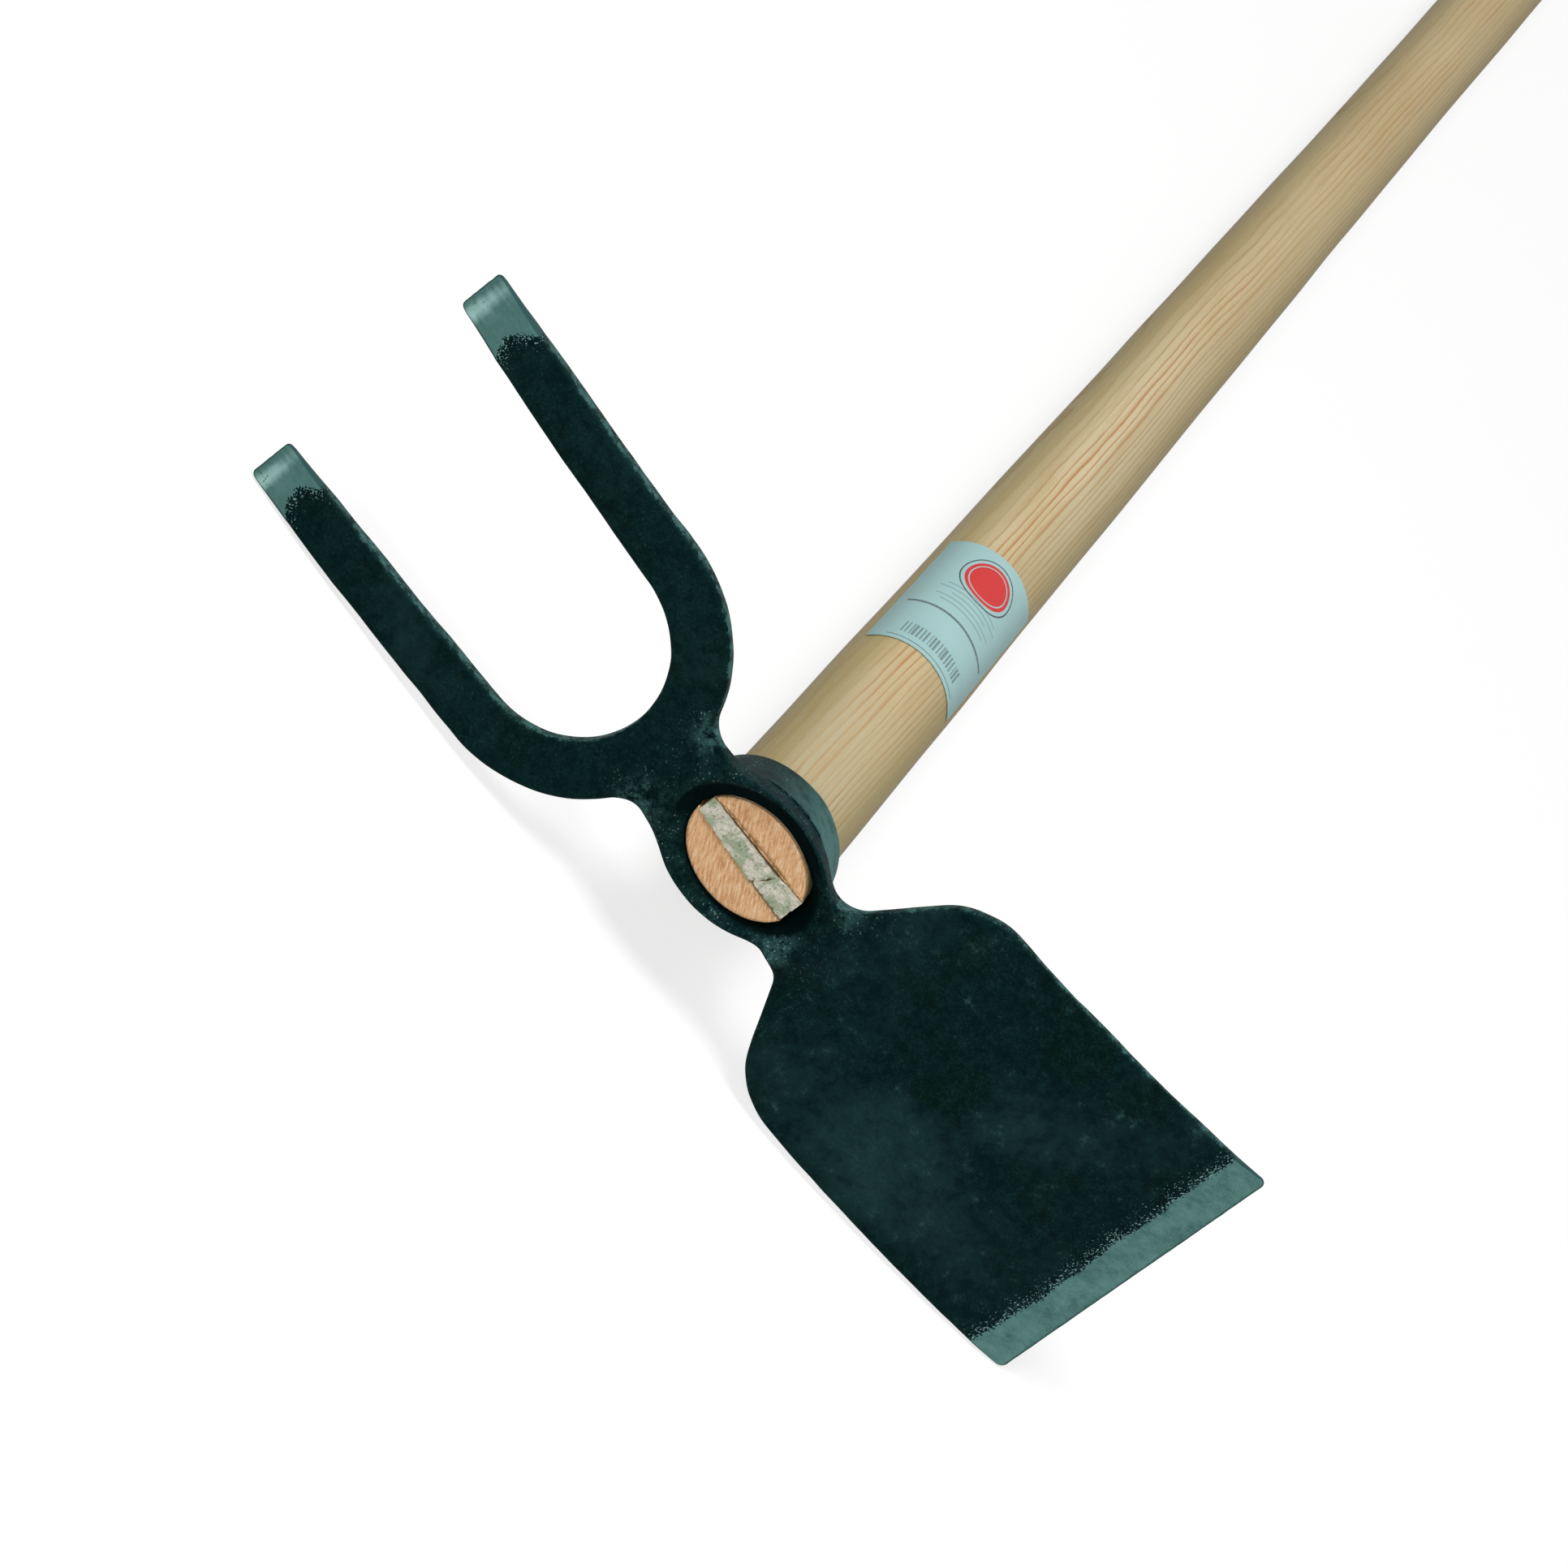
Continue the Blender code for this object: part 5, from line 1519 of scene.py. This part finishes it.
@dataclass(frozen=True)
class PaintedForging:
    """Thin dark green paint over forging scale, ground bare at the edge and the tine tips, with
    painted shade in the eye, a painted sheen on the collar and painted highlights at the tines.
    """

    deep: Colour = (0.0010, 0.0088, 0.0090)
    smoky: Colour = (0.0007, 0.0068, 0.0036)
    thin: Colour = (0.0060, 0.0240, 0.0255)
    cloudy: Colour = (0.0135, 0.0415, 0.0425)
    dust_and_sheen: Colour = (0.0560, 0.1480, 0.1370)
    soot: Colour = (0.0001, 0.0020, 0.0021)
    steel: Colour = (0.0800, 0.1860, 0.1710)
    bright_steel: Colour = (0.1300, 0.2640, 0.2430)
    dull_steel: Colour = (0.0360, 0.0880, 0.0780)
    polished_and_highlight: Colour = (0.2900, 0.4700, 0.4450)
    tint: tuple[float, float, float, float] = (0.35, 0.95, 1.0, 1.0)

    def paint(self, tree: "ShaderTree", place: Signal, scale: Signal, grain: Signal) -> Signal:
        """Colour of the paint: olive-black blotches, thin patches, grit, rubbed edges, sooty pits
        and smudges, painted sheen on the collar and painted shade in the dish.
        """
        wear, hollow = tree.attribute(Mask.WEAR), tree.attribute(Mask.HOLLOW)
        grit, collar = tree.attribute(Mask.GRIT), tree.attribute(Mask.COLLAR)
        thin = tree.attribute(Mask.THIN)
        blotches = tree.noise(place, 52.0, detail=5.0, rough=0.62, twist=0.4)
        clouds = tree.noise(place, 34.0, detail=4.0, rough=0.55)
        mottle = tree.noise(place, 160.0, detail=4.0, rough=0.65)
        scab = tree.noise(place, 700.0, detail=3.0, rough=0.7)
        sand = tree.noise(place, 1500.0, detail=1.0)
        blotchy = (blotches - thin * 0.12).between(0.46, 0.60)
        pale = (thin * 0.75 + clouds.swing(2.0) + mottle.swing(0.9)).between(-0.10, 1.10)
        film = (scale * 0.4 + grain * 0.6).between(0.42, 0.62)
        smoke = (mottle * 0.6 + scale * 0.4).between(0.52, 0.38)
        pitted = scab.between(0.52, 0.38) * (grit * 0.95 + 0.14)
        lumps = (scab * 0.3 + mottle * 0.7).between(0.42, 0.60) * (grit - 0.35).between(0.0, 1.0)
        specks = sand.between(0.65, 0.73) * mottle.between(0.44, 0.58) * (grit * 1.1 + 0.05)
        # painted sheen with dust on the collar's side, stronger towards the blade
        blade_side = tree.split(place)[0].between(-0.013, 0.017) * 0.94 + 0.01
        rubbed = (collar + mottle.swing(2.2) + scab.swing(0.8)).between(0.20, 1.15)
        edge = (wear + scale.swing(1.7) + grain.swing(0.6)).between(0.78, 1.30)
        # painted shade: near-black over the dish of the eye
        dark = (tree.attribute(Mask.SOOT) + scab.swing(0.9)).between(0.15, 0.80)
        return tree.coats(
            self.deep, (self.smoky, blotchy * 0.90), (self.cloudy, pale), (self.thin, film * 0.60),
            (self.soot, smoke * 0.34), (self.soot, pitted), (self.dust_and_sheen, lumps * 0.72),
            (self.polished_and_highlight, specks * 0.55), (self.dust_and_sheen, rubbed * blade_side),
            (self.dust_and_sheen, edge * 0.80), (self.soot, dark * 0.94),
            # painted shade: near-black deep in the dish and down the wall of the hole
            (self.soot, hollow.between(0.70, 1.0) * 0.96))

    def bare(self, tree: "ShaderTree", streaks: Signal, cloud: Signal, grain: Signal) -> Signal:
        """Colour of the ground steel: streaks, pits, dark line at the edge, bright tine ends with a
        painted highlight.
        """
        place = tree.object_place()
        tip, polish = tree.attribute(Mask.TIP), tree.attribute(Mask.POLISH)
        tone = streaks * 0.36 + cloud * 0.38 + grain * 0.26
        tine = tree.split(place)[0].between(-0.110, -0.130)
        dull = (tone.between(0.52, 0.34) * 0.55).most(tine * 0.36)
        shine = (polish * 1.1 + streaks.swing(0.7)).between(0.15, 1.1)
        pits = (0.13 - tree.cells(place, 420.0)).between(0.0, 0.08) * cloud.between(0.53, 0.58)
        eaten = tree.noise(place, 900.0, rough=0.6).between(0.60, 0.68) * cloud.between(0.45, 0.60)
        pits = (pits * 0.7).most(eaten * tine * tip.between(9.0, 4.0))
        dark_line = (tip + grain.swing(0.8)).between(0.85, 0.45)
        flank = tree.attribute(Mask.WEAR).between(0.30, 0.80)
        return tree.coats(
            self.steel, (self.bright_steel, tone.between(0.40, 0.68)), (self.dull_steel, dull),
            # painted highlight with rubbed steel near each tine's end, stronger at its lower side
            (self.polished_and_highlight, shine), (self.dull_steel, pits.most(dark_line * 0.75)),
            (self.cloudy, flank * 0.85))

    def material(self) -> bpy.types.Material:
        """Build the finish."""
        tree = ShaderTree.material("dark_green_forging_paint")
        place = tree.object_place()
        grain = tree.noise(place, 1500.0, detail=3.0, rough=0.6)
        scale = tree.noise(place, 330.0, detail=4.0, rough=0.65)
        cloud = tree.noise(place, 120.0, detail=3.0)
        speckle = tree.noise(place, 1600.0, detail=1.5, rough=0.7)
        streaks = tree.noise(tree.stretched(place, (0.25, 1.0, 1.0)), 520.0, detail=4.0, rough=0.6)
        depth = tree.attribute(Mask.BARE) + cloud.swing(3.4)
        reach = depth.most(0.0) * 0.22 + depth.least(0.0) * 0.030
        ground = (reach + speckle).between(0.515, 0.585)
        border = depth.between(-5.5, -1.5) * depth.between(1.0, -0.3)

        paint = tree.mix(self.paint(tree, place, scale, grain), self.soot, border * 0.30)
        steel = tree.mix(self.bare(tree, streaks, cloud, grain), self.polished_and_highlight,
                         border * speckle.between(0.55, 0.66) * 0.32)
        grit = tree.attribute(Mask.GRIT)
        shaded_dish = tree.attribute(Mask.SOOT).most(tree.attribute(Mask.HOLLOW))
        rough = 0.50 + grain.swing(0.22) + grit * 0.10 + shaded_dish * 0.35 - ground * 0.06
        painted_relief = grain * 0.20 + scale * 0.55 + grit * grain * 0.5
        height = painted_relief * (1.0 - ground * 0.75) - ground * 0.30 + streaks * ground * 0.15
        metal = ground * (0.50 - tree.attribute(Mask.WEAR) * 0.45)
        return tree.dress(Base_Color=tree.mix(paint, steel, ground), Roughness=rough,
                          Metallic=metal, Specular_IOR_Level=0.05, Specular_Tint=self.tint,
                          Normal=tree.bump(height, distance=0.00025, strength=0.8))


@dataclass(frozen=True)
class AshWood:
    """Pale lacquered ash: fine porous year lines along the shaft, and a sawn end in the eye."""

    pale: Colour = (0.628, 0.530, 0.330)
    honey: Colour = (0.460, 0.340, 0.160)
    line: Colour = (0.360, 0.185, 0.075)
    red_line: Colour = (0.480, 0.200, 0.075)
    painted_flank_shade: Colour = (0.290, 0.218, 0.060)
    greyed_and_shade: Colour = (0.360, 0.320, 0.205)
    sawn: Colour = (0.740, 0.430, 0.215)
    sawn_dark: Colour = (0.520, 0.245, 0.110)
    sawn_pale_and_highlight: Colour = (0.860, 0.650, 0.430)
    rim_shade: Colour = (0.330, 0.210, 0.110)
    stain_and_shade: Colour = (0.230, 0.120, 0.032)
    ring: float = 0.0019
    ring_turn_deg: float = 172.0
    saw_turn_deg: float = 54.0

    def year_rings(self, tree: "ShaderTree", place: Signal) -> tuple[Signal, Signal, Signal]:
        """Place in the year ring, 0 to 1, how flat the rings lie there, and which are strong."""
        x, y, z = tree.split(place)
        turn = math.radians(self.ring_turn_deg)
        across = x * math.cos(turn) + z * math.sin(turn)
        along = x * math.sin(turn) - z * math.cos(turn)
        sway = tree.drawn(place, 0.22, 20.0, rough=0.4)
        wobble = tree.drawn(place, 0.12, 170.0)
        layer = across + along * along * 9.0 + y * 0.010 + sway.swing(0.007) + wobble.swing(0.0012)
        uneven = tree.noise(tree.vector(layer, 0.0, 0.0), 260.0, detail=1.0)
        ring = ((layer + uneven.swing(0.0030)) / self.ring + 40.0).fraction()
        flat = (across * across).between(0.00009, 0.00021)
        chosen = tree.noise(tree.vector(layer, 0.0, 0.0), 140.0, detail=1.0)
        return ring, flat, chosen

    def side(self, tree: "ShaderTree", place: Signal, rings: tuple[Signal, Signal, Signal],
             fibres: Signal) -> Signal:
        """Colour along the shaft: year lines on silky wood, greyer near the head, painted shade on
        the +X half and along both flanks.
        """
        ring, flat, chosen = rings
        x, y, _ = tree.split(place)
        tone = tree.drawn(place, 0.2, 32.0)
        strength = tree.drawn(place, 0.10, 85.0)
        silk = tree.drawn(place, 0.03, 420.0, detail=3.0, rough=0.6)
        flecks = tree.drawn(place, 0.012, 900.0)
        dashes = tree.drawn(place, 0.03, 1900.0)
        pepper = tree.drawn(place, 0.30, 2300.0, rough=0.6)
        near = y.between(0.130, 0.050)
        # greyer near the head, and painted shade over the +X half of the shaft
        greyed_and_shade = (y.between(0.150, 0.040) * 0.60).most(x.between(-0.003, 0.003) * 0.34)
        sharp = ring.between(0.0, 0.07) * ring.between(0.32, 0.10) * (1.0 - flat * 0.75)
        drawn = sharp * strength.between(0.26, 0.60) * (0.60 + dashes.between(0.40, 0.62) * 0.40)
        red = drawn * chosen.between(0.48, 0.56) * (0.95 - near * 0.60)
        # painted shade: both flanks of the shaft darker and more yellow
        flank_shade = (x.between(0.005, 0.016) * 0.64).most(x.between(-0.008, -0.016) * 0.60)
        return tree.coats(
            self.pale, (self.honey, tone.between(0.38, 0.66) * 0.45), (self.greyed_and_shade, greyed_and_shade),
            (self.honey, ring.between(0.70, 0.0) * (0.50 - flat * 0.3)),
            (self.honey, silk.between(0.48, 0.66) * 0.45),
            (self.line, drawn * (0.66 + near * 0.32)), (self.red_line, red),
            (self.honey, y.between(0.34, 0.58) * 0.42), (self.painted_flank_shade, flank_shade),
            (self.line, pepper.between(0.50, 0.76) * 0.16),
            (self.line, flecks.between(0.60, 0.74) * 0.14),
            (self.pale, fibres.between(0.55, 0.75) * 0.30))

    def sawn_end(self, tree: "ShaderTree", place: Signal, ring: Signal, saw: Signal,
                 dots: Signal) -> Signal:
        """Colour of the sawn end: streaks along the rings, pale pores, brown dirt by the wedge with
        painted shade down the saw cut, and painted highlight and painted shade on the rim.
        """
        _, y, z = tree.split(place)
        soil = tree.attribute(Mask.SOIL)
        blot = tree.noise(place, 640.0, detail=3.0, rough=0.6)
        rim = y.between(0.0002, 0.0004) * y.between(0.0012, 0.0009) * soil.between(0.55, 0.40)
        return tree.coats(
            self.sawn, (self.sawn_dark, ring.between(0.5, 0.0) * 0.16),
            (self.sawn_pale_and_highlight, saw.between(0.50, 0.64) * 0.75),
            (self.sawn_dark, saw.between(0.49, 0.37) * 0.80), (self.sawn_pale_and_highlight, dots * 0.55),
            # painted highlight along the rim's -Z side, painted shade along its +Z side
            (self.sawn_pale_and_highlight, rim * z.between(0.003, -0.006) * 0.80),
            (self.rim_shade, rim * z.between(-0.002, 0.008) * 0.70),
            # brown dirt beside the wedge, with painted shade down the saw cut
            (self.stain_and_shade, (soil + blot.swing(1.1)).between(0.26, 0.84) * 0.90))

    def material(self, placement: Placement) -> bpy.types.Material:
        """Build the finish, its grain along the handle's own axis."""
        tree = ShaderTree.material("lacquered_ash")
        back = Matrix(placement.turn.T.tolist())
        shift = Vector((-(placement.turn.T @ placement.origin)).tolist())
        place = tree.object_place(back.to_euler(), shift)
        end = tree.attribute(Mask.END)
        x, _, z = tree.split(place)
        rings = self.year_rings(tree, place)
        ring = rings[0]
        turn = math.radians(self.saw_turn_deg)
        along = x * math.cos(turn) - z * math.sin(turn)
        across = x * math.sin(turn) + z * math.cos(turn)
        fibres = tree.drawn(place, 0.020, 2600.0, detail=3.0, rough=0.6)
        saw = tree.noise(tree.vector(along * 0.13, 0.0, across), 1500.0, detail=3.0, rough=0.65,
                         twist=0.2)
        dots = tree.noise(place, 2300.0, rough=0.6).between(0.57, 0.66)
        colour = tree.mix(self.side(tree, place, rings, fibres),
                          self.sawn_end(tree, place, ring, saw, dots), end)
        line = ring.between(0.0, 0.03) * ring.between(0.17, 0.05)
        height = fibres * 0.18 - line * 0.4 + saw * end * 1.5 - dots * end * 0.4
        rough = 0.48 + line * 0.10 + fibres.swing(0.10) + end * 0.24
        return tree.dress(Base_Color=colour, Roughness=rough, Specular_IOR_Level=0.06,
                          Normal=tree.bump(height, distance=0.00012, strength=0.75))


@dataclass(frozen=True)
class WedgeWood:
    """Raw wedge wood, weathered grey-green and speckled, brown with glue along its borders."""

    body: Colour = (0.540, 0.530, 0.415)
    pale: Colour = (0.740, 0.710, 0.620)
    moss: Colour = (0.250, 0.325, 0.190)
    speck: Colour = (0.085, 0.085, 0.060)
    glue: Colour = (0.270, 0.160, 0.060)

    def material(self, name: str) -> bpy.types.Material:
        """Build the finish for one piece."""
        tree = ShaderTree.material(name)
        place = tree.object_place()
        soil = tree.attribute(Mask.SOIL)
        fibre = tree.noise(tree.stretched(place, (0.8, 1.0, 1.2)), 800.0, detail=4.0, rough=0.65)
        patch = tree.noise(place, 190.0, detail=3.0, rough=0.6, twist=0.5)
        mottle = tree.noise(place, 800.0, detail=4.0, rough=0.7)
        dots = tree.noise(place, 1700.0, rough=0.6).between(0.58, 0.68) * mottle.between(0.40, 0.54)
        colour = tree.coats(
            self.body, (self.pale, (fibre * 0.6 + mottle * 0.4).between(0.42, 0.60)),
            (self.moss, (patch + mottle.swing(0.4)).between(0.44, 0.62) * 0.78),
            (self.speck, dots * 0.7),
            (self.glue, (soil + mottle.swing(1.3)).between(0.60, 1.20) * 0.8))
        height = fibre * 0.8 + mottle * 0.6 - dots * 0.6
        return tree.dress(Base_Color=colour, Roughness=0.74 + mottle.swing(0.2),
                          Specular_IOR_Level=0.3,
                          Normal=tree.bump(height, distance=0.00018, strength=0.9))


@dataclass(frozen=True)
class LabelPaper:
    """Pale blue-grey label paper with a plain generic print: an oval, rules and upright bars.

    Lengths along the label count from its end by the head, across from its middle.

    Attributes:
        oval_half: half width and half length of the red oval.
        inner_ring, border: edges of the rings in it and round it, as shares of its size.
        bar_along: where the bars start and end.
        bar_swells: turns in a metre and share of the waves that vary the bars' width.
        rule_along: where the first and the last of the thin rules lie.
        long_rule, foot_rule: near edge, far edge and half length of the strong rules.
        inks: strength of bars, thin rules and strong rules.
    """

    paper: Colour = (0.345, 0.535, 0.535)
    worn: Colour = (0.275, 0.450, 0.450)
    shaded: Colour = (0.140, 0.240, 0.235)
    ink: Colour = (0.040, 0.060, 0.065)
    red: Colour = (0.600, 0.010, 0.010)
    oval_half: tuple[float, float] = (0.0078, 0.0135)
    oval_along: float = 0.0690
    inner_ring: tuple[float, float] = (0.81, 0.86)
    border: tuple[float, float] = (1.14, 1.20)
    ring_soft: float = 0.01
    bar_along: tuple[float, float] = (0.0065, 0.0150)
    bar_half: float = 0.0108
    bar_pitch: float = 0.00115
    bar_swells: tuple[tuple[float, float], ...] = ((1900.0, 0.14), (4300.0, 0.12))
    rule_along: tuple[float, float] = (0.0405, 0.0540)
    rule_halves: tuple[float, ...] = (0.0085, 0.0105, 0.0065, 0.0110, 0.0095)
    rule_width: float = 0.0009
    long_rule: tuple[float, float, float] = (0.0326, 0.0342, 0.0160)
    foot_rule: tuple[float, float, float] = (0.0022, 0.0028, 0.0135)
    inks: tuple[float, float, float] = (0.62, 0.38, 0.80)
    soft: float = 0.00005

    def material(self, size: tuple[float, float]) -> bpy.types.Material:
        """Build the finish; its pattern follows the paper, in metres.

        Args:
            size: width and length of the flat label.

        Returns:
            The material.
        """
        tree = ShaderTree.material("label_paper")
        layout = tree.node("ShaderNodeAttribute", {"attribute_name": "layout"}, output="Vector")
        corner_across, along, _ = tree.split(layout)
        across = corner_across - size[0] / 2.0
        place = tree.object_place()
        tooth = tree.noise(place, 2400.0)
        cloud = tree.noise(place, 70.0, detail=3.0)
        blot = tree.noise(place, 3200.0)
        scuff = tree.drawn(place, 0.3, 420.0, detail=4.0, rough=0.7)
        side = across / (size[0] / 2.0)
        reach = self.oval_reach(across, along)
        red = reach.between(1.0 + self.ring_soft, 1.0 - self.ring_soft) * (
            1.0 - self.window(reach, *self.inner_ring, self.ring_soft))
        printed = self.window(reach, *self.border, self.ring_soft)
        printed = printed.most(self.bars(across, along)).most(self.rules(across, along))
        colour = tree.coats(
            self.paper, (self.worn, cloud.between(0.45, 0.75) * 0.25),
            (self.worn, scuff.between(0.60, 0.74) * 0.30),
            (self.shaded, (side * side).between(0.10, 1.10) * 0.50), (self.red, red * 0.96),
            (self.ink, printed * blot.between(0.28, 0.42)))
        rough = 0.40 + tooth * 0.12 - printed * 0.06
        return tree.dress(Base_Color=colour, Roughness=rough, Specular_IOR_Level=0.08,
                          Normal=tree.bump(tooth, distance=0.00004, strength=0.5))

    def oval_reach(self, across: Signal, along: Signal) -> Signal:
        """Distance from the oval's middle, in sizes of the oval."""
        wide = across / self.oval_half[0]
        long = (along - self.oval_along) / self.oval_half[1]
        return (wide * wide + long * long) ** 0.5

    @staticmethod
    def window(value: Signal, low: float, high: float, soft: float) -> Signal:
        """Return 1 between low and high, with soft borders."""
        return value.between(low - soft, low + soft) * value.between(high + soft, high - soft)

    def rectangle(self, across: Signal, along: Signal, low: float, high: float,
                  half: float) -> Signal:
        """Return 1 inside a rectangle from low to high along, and half wide to each side."""
        return (self.window(along, low, high, self.soft)
                * self.window(across, -half, half, self.soft))

    def bars(self, across: Signal, along: Signal) -> Signal:
        """Upright bars at an even pitch, whose width swells and shrinks along the row."""
        width = 0.50
        for turns, share in self.bar_swells:
            width = (across * turns).sine() * share + width
        phase = (across / self.bar_pitch + 40.0).fraction()
        bar = (width - phase).between(-0.04, 0.04)
        return self.rectangle(across, along, *self.bar_along, self.bar_half) * bar * self.inks[0]

    def rules(self, across: Signal, along: Signal) -> Signal:
        """Plain rules of different length, that stand where small print would."""
        places = np.linspace(*self.rule_along, len(self.rule_halves)).tolist()
        strokes = [(low, low + self.rule_width, half, self.inks[1])
                   for low, half in zip(places, self.rule_halves)]
        strokes += [(*rule, self.inks[2]) for rule in (self.long_rule, self.foot_rule)]
        result = 0.0
        for low, high, half, ink in strokes:
            result = (self.rectangle(across, along, low, high, half) * ink).most(result)
        return result


@dataclass(frozen=True)
class Lamp:
    """A soft square lamp that faces a target; size in metres, power in watts."""

    name: str
    place: tuple[float, float, float]
    target: tuple[float, float, float]
    size: float
    power: float

    def light(self) -> None:
        """Add the lamp to the scene."""
        data = bpy.data.lights.new(self.name, "AREA")
        data.shape = "SQUARE"
        data.size = self.size
        data.energy = self.power
        item = new_object(self.name, data)
        item.location = self.place
        ray = Vector(self.target) - Vector(self.place)
        item.rotation_euler = ray.to_track_quat("-Z", "Y").to_euler()


@dataclass(frozen=True)
class Studio:
    """Plain pale floor, soft lamps and the camera at the photograph's viewing angle.

    Attributes:
        azimuth_deg, elevation_deg: bearing of the camera round the tool, and its height.
        roll_deg: how far the picture is turned.
        distance: depth of the wood's end before the camera.
        anchor_pixel: where the wood's end lies in the photograph.
        focal_pixels: focal length in the photograph's pixels.
        image_pixels: width of the photograph.
        far: how far the camera sees.
        dim: brightness of the white surround where it only lights the tool.
        floor_glow: light that the floor adds where the camera sees it.
    """

    azimuth_deg: float = -5.40
    elevation_deg: float = 26.78
    roll_deg: float = 53.68
    distance: float = 2.200
    anchor_pixel: tuple[float, float] = (918.4, 1059.9)
    focal_pixels: float = 9900.0
    image_pixels: float = 1932.0
    sensor_mm: float = 36.0
    far: float = 30.0
    lamps: tuple[Lamp, ...] = (
        Lamp("key", (-0.5, -1.4, 2.6), (0.0, -0.4, 0.0), 0.9, 58.0),
        Lamp("front_fill", (0.1, -3.2, 1.2), (0.0, -0.5, 0.0), 1.3, 38.0),
        Lamp("far_fill", (-0.1, 1.6, 2.6), (0.0, 0.2, 0.0), 1.0, 22.0))
    dim: float = 0.08
    floor_grey: float = 0.27
    floor_glow: float = 0.745
    floor_reach: float = 14.0
    floor_level: float = -0.0004

    def camera(self, anchor: Vector) -> None:
        """Set the camera so that the anchor is seen at its pixel."""
        azimuth, elevation = math.radians(self.azimuth_deg), math.radians(self.elevation_deg)
        roll = math.radians(self.roll_deg)
        back = Vector((math.sin(azimuth) * math.cos(elevation),
                       -math.cos(azimuth) * math.cos(elevation), math.sin(elevation)))
        level = Vector((math.cos(azimuth), math.sin(azimuth), 0.0))
        upright = back.cross(level)
        right = level * math.cos(roll) + upright * math.sin(roll)
        up = back.cross(right)
        turn = Matrix((right, up, back)).transposed()
        half = self.image_pixels / 2.0
        seen = Vector(((self.anchor_pixel[0] - half) / self.focal_pixels,
                       (half - self.anchor_pixel[1]) / self.focal_pixels, -1.0)) * self.distance
        data = bpy.data.cameras.new("camera")
        data.sensor_width = self.sensor_mm
        data.lens = self.focal_pixels / self.image_pixels * self.sensor_mm
        data.clip_end = self.far
        item = new_object("camera", data)
        item.matrix_world = Matrix.Translation(anchor - turn @ seen) @ turn.to_4x4()
        bpy.context.scene.camera = item

    def world(self) -> None:
        """Make a soft grey surround that is seen and reflected as white."""
        tree = ShaderTree(bpy.data.worlds.new("studio"), "Background")
        strength = tree.seen() * (1.0 - self.dim) + self.dim
        bpy.context.scene.world = tree.dress(Color=(1.0, 1.0, 1.0, 1.0), Strength=strength)

    def floor(self) -> None:
        """Make the pale floor: diffuse, with the missing light added where the camera sees it."""
        tree = ShaderTree.material("studio_floor")
        glow = tree.mix((0.0, 0.0, 0.0), (1.0, 1.0, 1.0), tree.seen() * self.floor_glow)
        grey = (self.floor_grey, self.floor_grey, self.floor_grey, 1.0)
        material = tree.dress(Base_Color=grey, Roughness=0.9, Specular_IOR_Level=0.0,
                              Emission_Color=glow, Emission_Strength=1.0)
        mesh = bpy.data.meshes.new("floor")
        corners = np.array([(-1, -1), (1, -1), (1, 1), (-1, 1)]) * self.floor_reach
        points = np.column_stack([corners, np.full(len(corners), self.floor_level)])
        mesh.from_pydata(points, [], [(0, 1, 2, 3)])
        mesh.materials.append(material)
        item = new_object("floor", mesh)


def corners_of(node: str) -> Array:
    """Corners of a frame node in the frame's axes."""
    return read_floats(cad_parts[node].data.vertices, "co", 3)


def main() -> None:
    """Build the pieces in order, then the studio."""
    logging.basicConfig(level=logging.INFO, format="%(message)s")
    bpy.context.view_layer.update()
    head, handle, label = HeadForging(), AshHandle(), PaperLabel()
    placement = Placement.from_contacts(head.contacts(), corners_of("handle"))
    LOG.info("the wood's end lies at %s", np.round(placement.origin, 5))
    shop = Workshop(placement)
    shop.make("forging", head.surface(), PaintedForging().material(),
              "forged_head", head.wear.relief)
    shop.make("ash_handle", handle.surface(), AshWood().material(placement),
              "handle", handle.relief)
    shop.make("paper_label", label.surface(), LabelPaper().material(label.flat_size),
              "label", label.relief)
    for name, node, broken_end in (("wedge_long_piece", "wedge", False),
                                   ("wedge_cracked_end", "wedge_broken_end", True)):
        piece = WedgePiece(broken_end)
        shop.make(name, piece.surface(), WedgeWood().material(f"{name}_wood"),
                  node, piece.relief, 50.0)
    studio = Studio()
    studio.floor()
    for lamp in studio.lamps:
        lamp.light()
    studio.world()
    studio.camera(Vector(placement.origin.tolist()))
    bpy.context.scene.view_settings.view_transform = "Standard"


if __name__ == "__main__":
    main()
